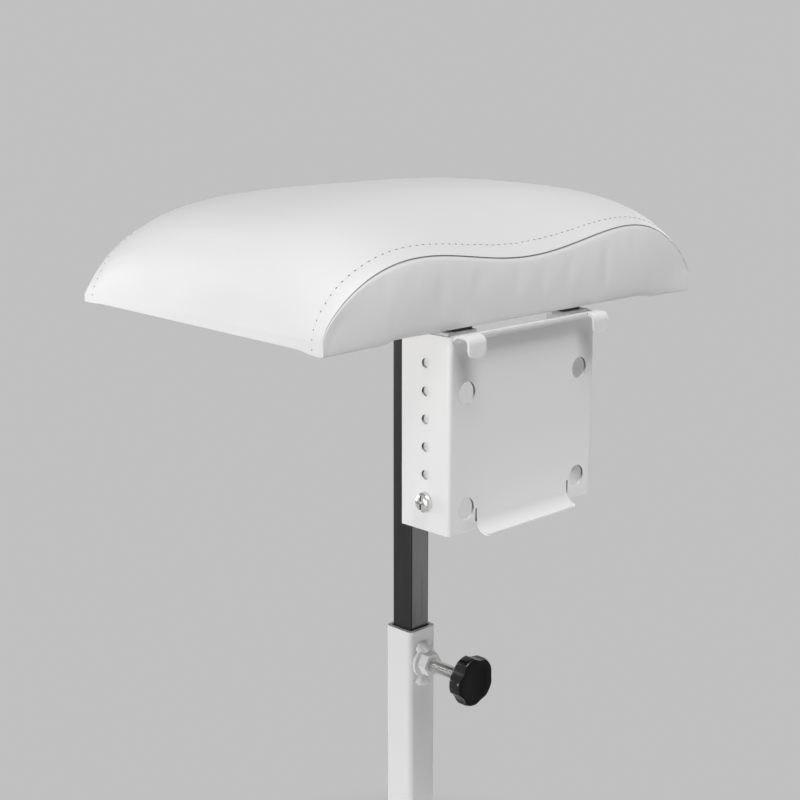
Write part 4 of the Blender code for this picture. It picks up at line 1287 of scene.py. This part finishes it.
def extrude_cap(bm, cap):
    """Extrudes the end face, removes the old one and gives the new one."""
    made = bmesh.ops.extrude_face_region(bm, geom=[cap])["geom"]
    bmesh.ops.delete(bm, geom=[cap], context="FACES_ONLY")
    return next(item for item in made if isinstance(item, bmesh.types.BMFace))


def knob_shape():
    """The knob, with its dull front face marked."""
    bm = bmesh.new()
    bmesh.ops.create_circle(bm, segments=KNOB_POINTS, radius=KNOB_RADIUS, cap_ends=True)
    cap = bm.faces[:][0]
    rings = knob_profile()
    set_ring(cap.verts, *rings[0])
    for radius, height in rings[1:]:
        cap = extrude_cap(bm, cap)
        set_ring(cap.verts, radius, height)
    for step in range(DISH_RINGS):
        cap = extrude_cap(bm, cap)
        set_ring(cap.verts, DISH_RADIUS - step * DISH_DEPTH, KNOB_THICK - step * DISH_DEPTH / 2, False)
    bmesh.ops.edgeloop_fill(bm, edges=open_edges(bm))
    bmesh.ops.recalc_face_normals(bm, faces=bm.faces)
    front = bm.verts.layers.float.new("front")
    for vertex in bm.verts:
        vertex[front] = float(vertex.co.z > KNOB_BACK + KNOB_THICK - FRONT_FACE)
    bmesh.ops.transform(bm, matrix=CLAMP_FRAME, verts=bm.verts)
    return bm


add_piece("clamp_knob_fluted", knob_shape(), black_plastic, "clamp_knob", ["clamp_knob"])

# %% [markdown]
# ## Welds
# A weld is metal that froze in lumps. The blobs over and under the nut are spheres pushed about by
# noise and pressed flat against the tube. The beads round the post's ends are copies of their solids
# with a ripple, one for each dab of the torch.

# %% Weld blobs at the nut
LUMP = 1.6 * MM
LUMP_SCALE = 230
for node in ("nut_weld_upper", "nut_weld_lower"):
    low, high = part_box(node)
    seat = Vector(((low.x + high.x) / 2, high.y, (low.z + high.z) / 2))
    reach = Vector(((high.x - low.x) / 2, high.y - low.y, (high.z - low.z) / 2))
    blob = bmesh.new()
    matrix = Matrix.Translation(seat) @ Matrix.Diagonal((*reach, 1))
    bmesh.ops.create_icosphere(blob, subdivisions=4, radius=1.0, matrix=matrix)
    for vertex in blob.verts:
        push = (vertex.co - seat).normalized()
        vertex.co += push * LUMP * noise.noise(vertex.co * LUMP_SCALE)
        vertex.co.y = min(vertex.co.y, TUBE_FRONT + MM / 2)
    add_piece(f"{node}_lumps", blob, white_coat, node, [node])

# %% Weld beads round the post
RIPPLE = 0.35 * MM
RIPPLES = 34
RIPPLE_DRIFT = 2
DRIFT_SCALE = 90
for node, web in (("foot_weld", white_coat), ("head_weld", black_coat)):
    bead = merged_copy(node)
    bmesh.ops.subdivide_edges(bead, edges=bead.edges, cuts=3, use_grid_fill=True, smooth=0.6)
    bmesh.ops.recalc_face_normals(bead, faces=bead.faces)
    bead.normal_update()
    for vertex in bead.verts:
        turn = math.atan2(vertex.co.y, vertex.co.x)
        ripple = math.sin(turn * RIPPLES + RIPPLE_DRIFT * noise.noise(vertex.co * DRIFT_SCALE))
        vertex.co += vertex.normal * RIPPLE * (ripple - 1) / 2
    add_piece(f"{node}_rippled", bead, web, node, [node])

# %% [markdown]
# ## Screws
# All screws have domed heads with a cross recess. A grid is rounded into a disc and domed, the faces
# of a plus are pushed in for the recess, and the rim is pulled down to the seat. The shank is a plain
# cylinder, because only its head can be seen.

# %% Screw heads
HEAD_CELLS = 9
CROSS_HALF = 0.1
CROSS_REACH = 0.7
RECESS = 0.6
RECESS_TAPER = 0.7
DOME = 0.94
# Heights of the rings below the dome, as shares of the head's height
RIM_LEVELS = (0.15, 0.0)


def screw_head(radius, height):
    """A domed head about local Z with its seat on height 0 and a cross recess."""
    bm = bmesh.new()
    bmesh.ops.create_grid(bm, x_segments=HEAD_CELLS, y_segments=HEAD_CELLS, size=1)
    cross = []
    for face in bm.faces:
        x, y = (abs(value) for value in face.calc_center_median().xy)
        if min(x, y) < CROSS_HALF and max(x, y) < CROSS_REACH:
            cross.append(face)
    for vertex in bm.verts:
        x, y = vertex.co.xy
        flat = Vector((x * math.sqrt(1 - y * y / 2), y * math.sqrt(1 - x * x / 2)))
        dome = math.sqrt(1 - (DOME * min(flat.length, 1)) ** 4)
        vertex.co = (flat.x * radius, flat.y * radius, height * dome)
    made = bmesh.ops.extrude_face_region(bm, geom=cross)
    bmesh.ops.delete(bm, geom=cross, context="FACES_ONLY")
    for vertex in new_points(made):
        vertex.co.z -= height * RECESS
        vertex.co.x *= RECESS_TAPER
        vertex.co.y *= RECESS_TAPER
    for level in RIM_LEVELS:
        for vertex in new_points(bmesh.ops.extrude_edge_only(bm, edges=open_edges(bm))):
            vertex.co.z = height * level
    return bm


print("heads start from", HEAD_CELLS**2, "faces")

# %% Shanks
SHANK_SHARE = 0.5
# Height of a head as a share of its radius
HEAD_SHARE = {"side_screw": 0.62, "hanger_screw": 0.65, "plate_screw": 0.65, "foot_screw": 0.54}


def add_shank(bm, radius, length):
    """Closes the head's seat with a shank that points down."""
    seat = bmesh.ops.edgeloop_fill(bm, edges=open_edges(bm))["faces"]
    head_radius = max(vertex.co.xy.length for vertex in seat[0].verts)
    bmesh.ops.inset_region(bm, faces=seat, thickness=head_radius - radius)
    made = bmesh.ops.extrude_face_region(bm, geom=seat)
    bmesh.ops.delete(bm, geom=seat, context="FACES_ONLY")
    bmesh.ops.translate(bm, vec=(0, 0, -length), verts=new_points(made))
    bmesh.ops.recalc_face_normals(bm, faces=bm.faces)


def screw_from_box(node, facing):
    """A screw in the place of its solid. facing is the way that its head points."""
    low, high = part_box(node)
    middle = (low + high) / 2
    length = abs((high - low).dot(facing))
    radius = max((high - low) - Vector([abs(value) for value in facing]) * length) / 2
    top = middle + facing * length / 2
    height = radius * HEAD_SHARE[node.rsplit("_", 1)[0]]
    bm = screw_head(radius, height)
    add_shank(bm, radius * SHANK_SHARE, length - height)
    turn = facing.to_track_quat("Z", "Y").to_matrix().to_4x4()
    bmesh.ops.transform(bm, matrix=Matrix.Translation(top - facing * height) @ turn, verts=bm.verts)
    return bm


print("heads of", len(HEAD_SHARE), "kinds of screw")

# %% All screws
DOWN = Vector((0, 0, -1))
FACING = {f"hanger_screw_{number}": DOWN for number in range(1, 5)}
FACING.update({f"plate_screw_{number}": DOWN for number in range(1, 3)})
FACING.update({f"foot_screw_{number}": DOWN for number in range(1, 5)})
FACING["side_screw_left"] = Vector((-1, 0, 0))
FACING["side_screw_right"] = Vector((1, 0, 0))
for node, facing in FACING.items():
    add_piece(f"{node}_cross", screw_from_box(node, facing), zinc, node, [node])
print(len(FACING), "screws")
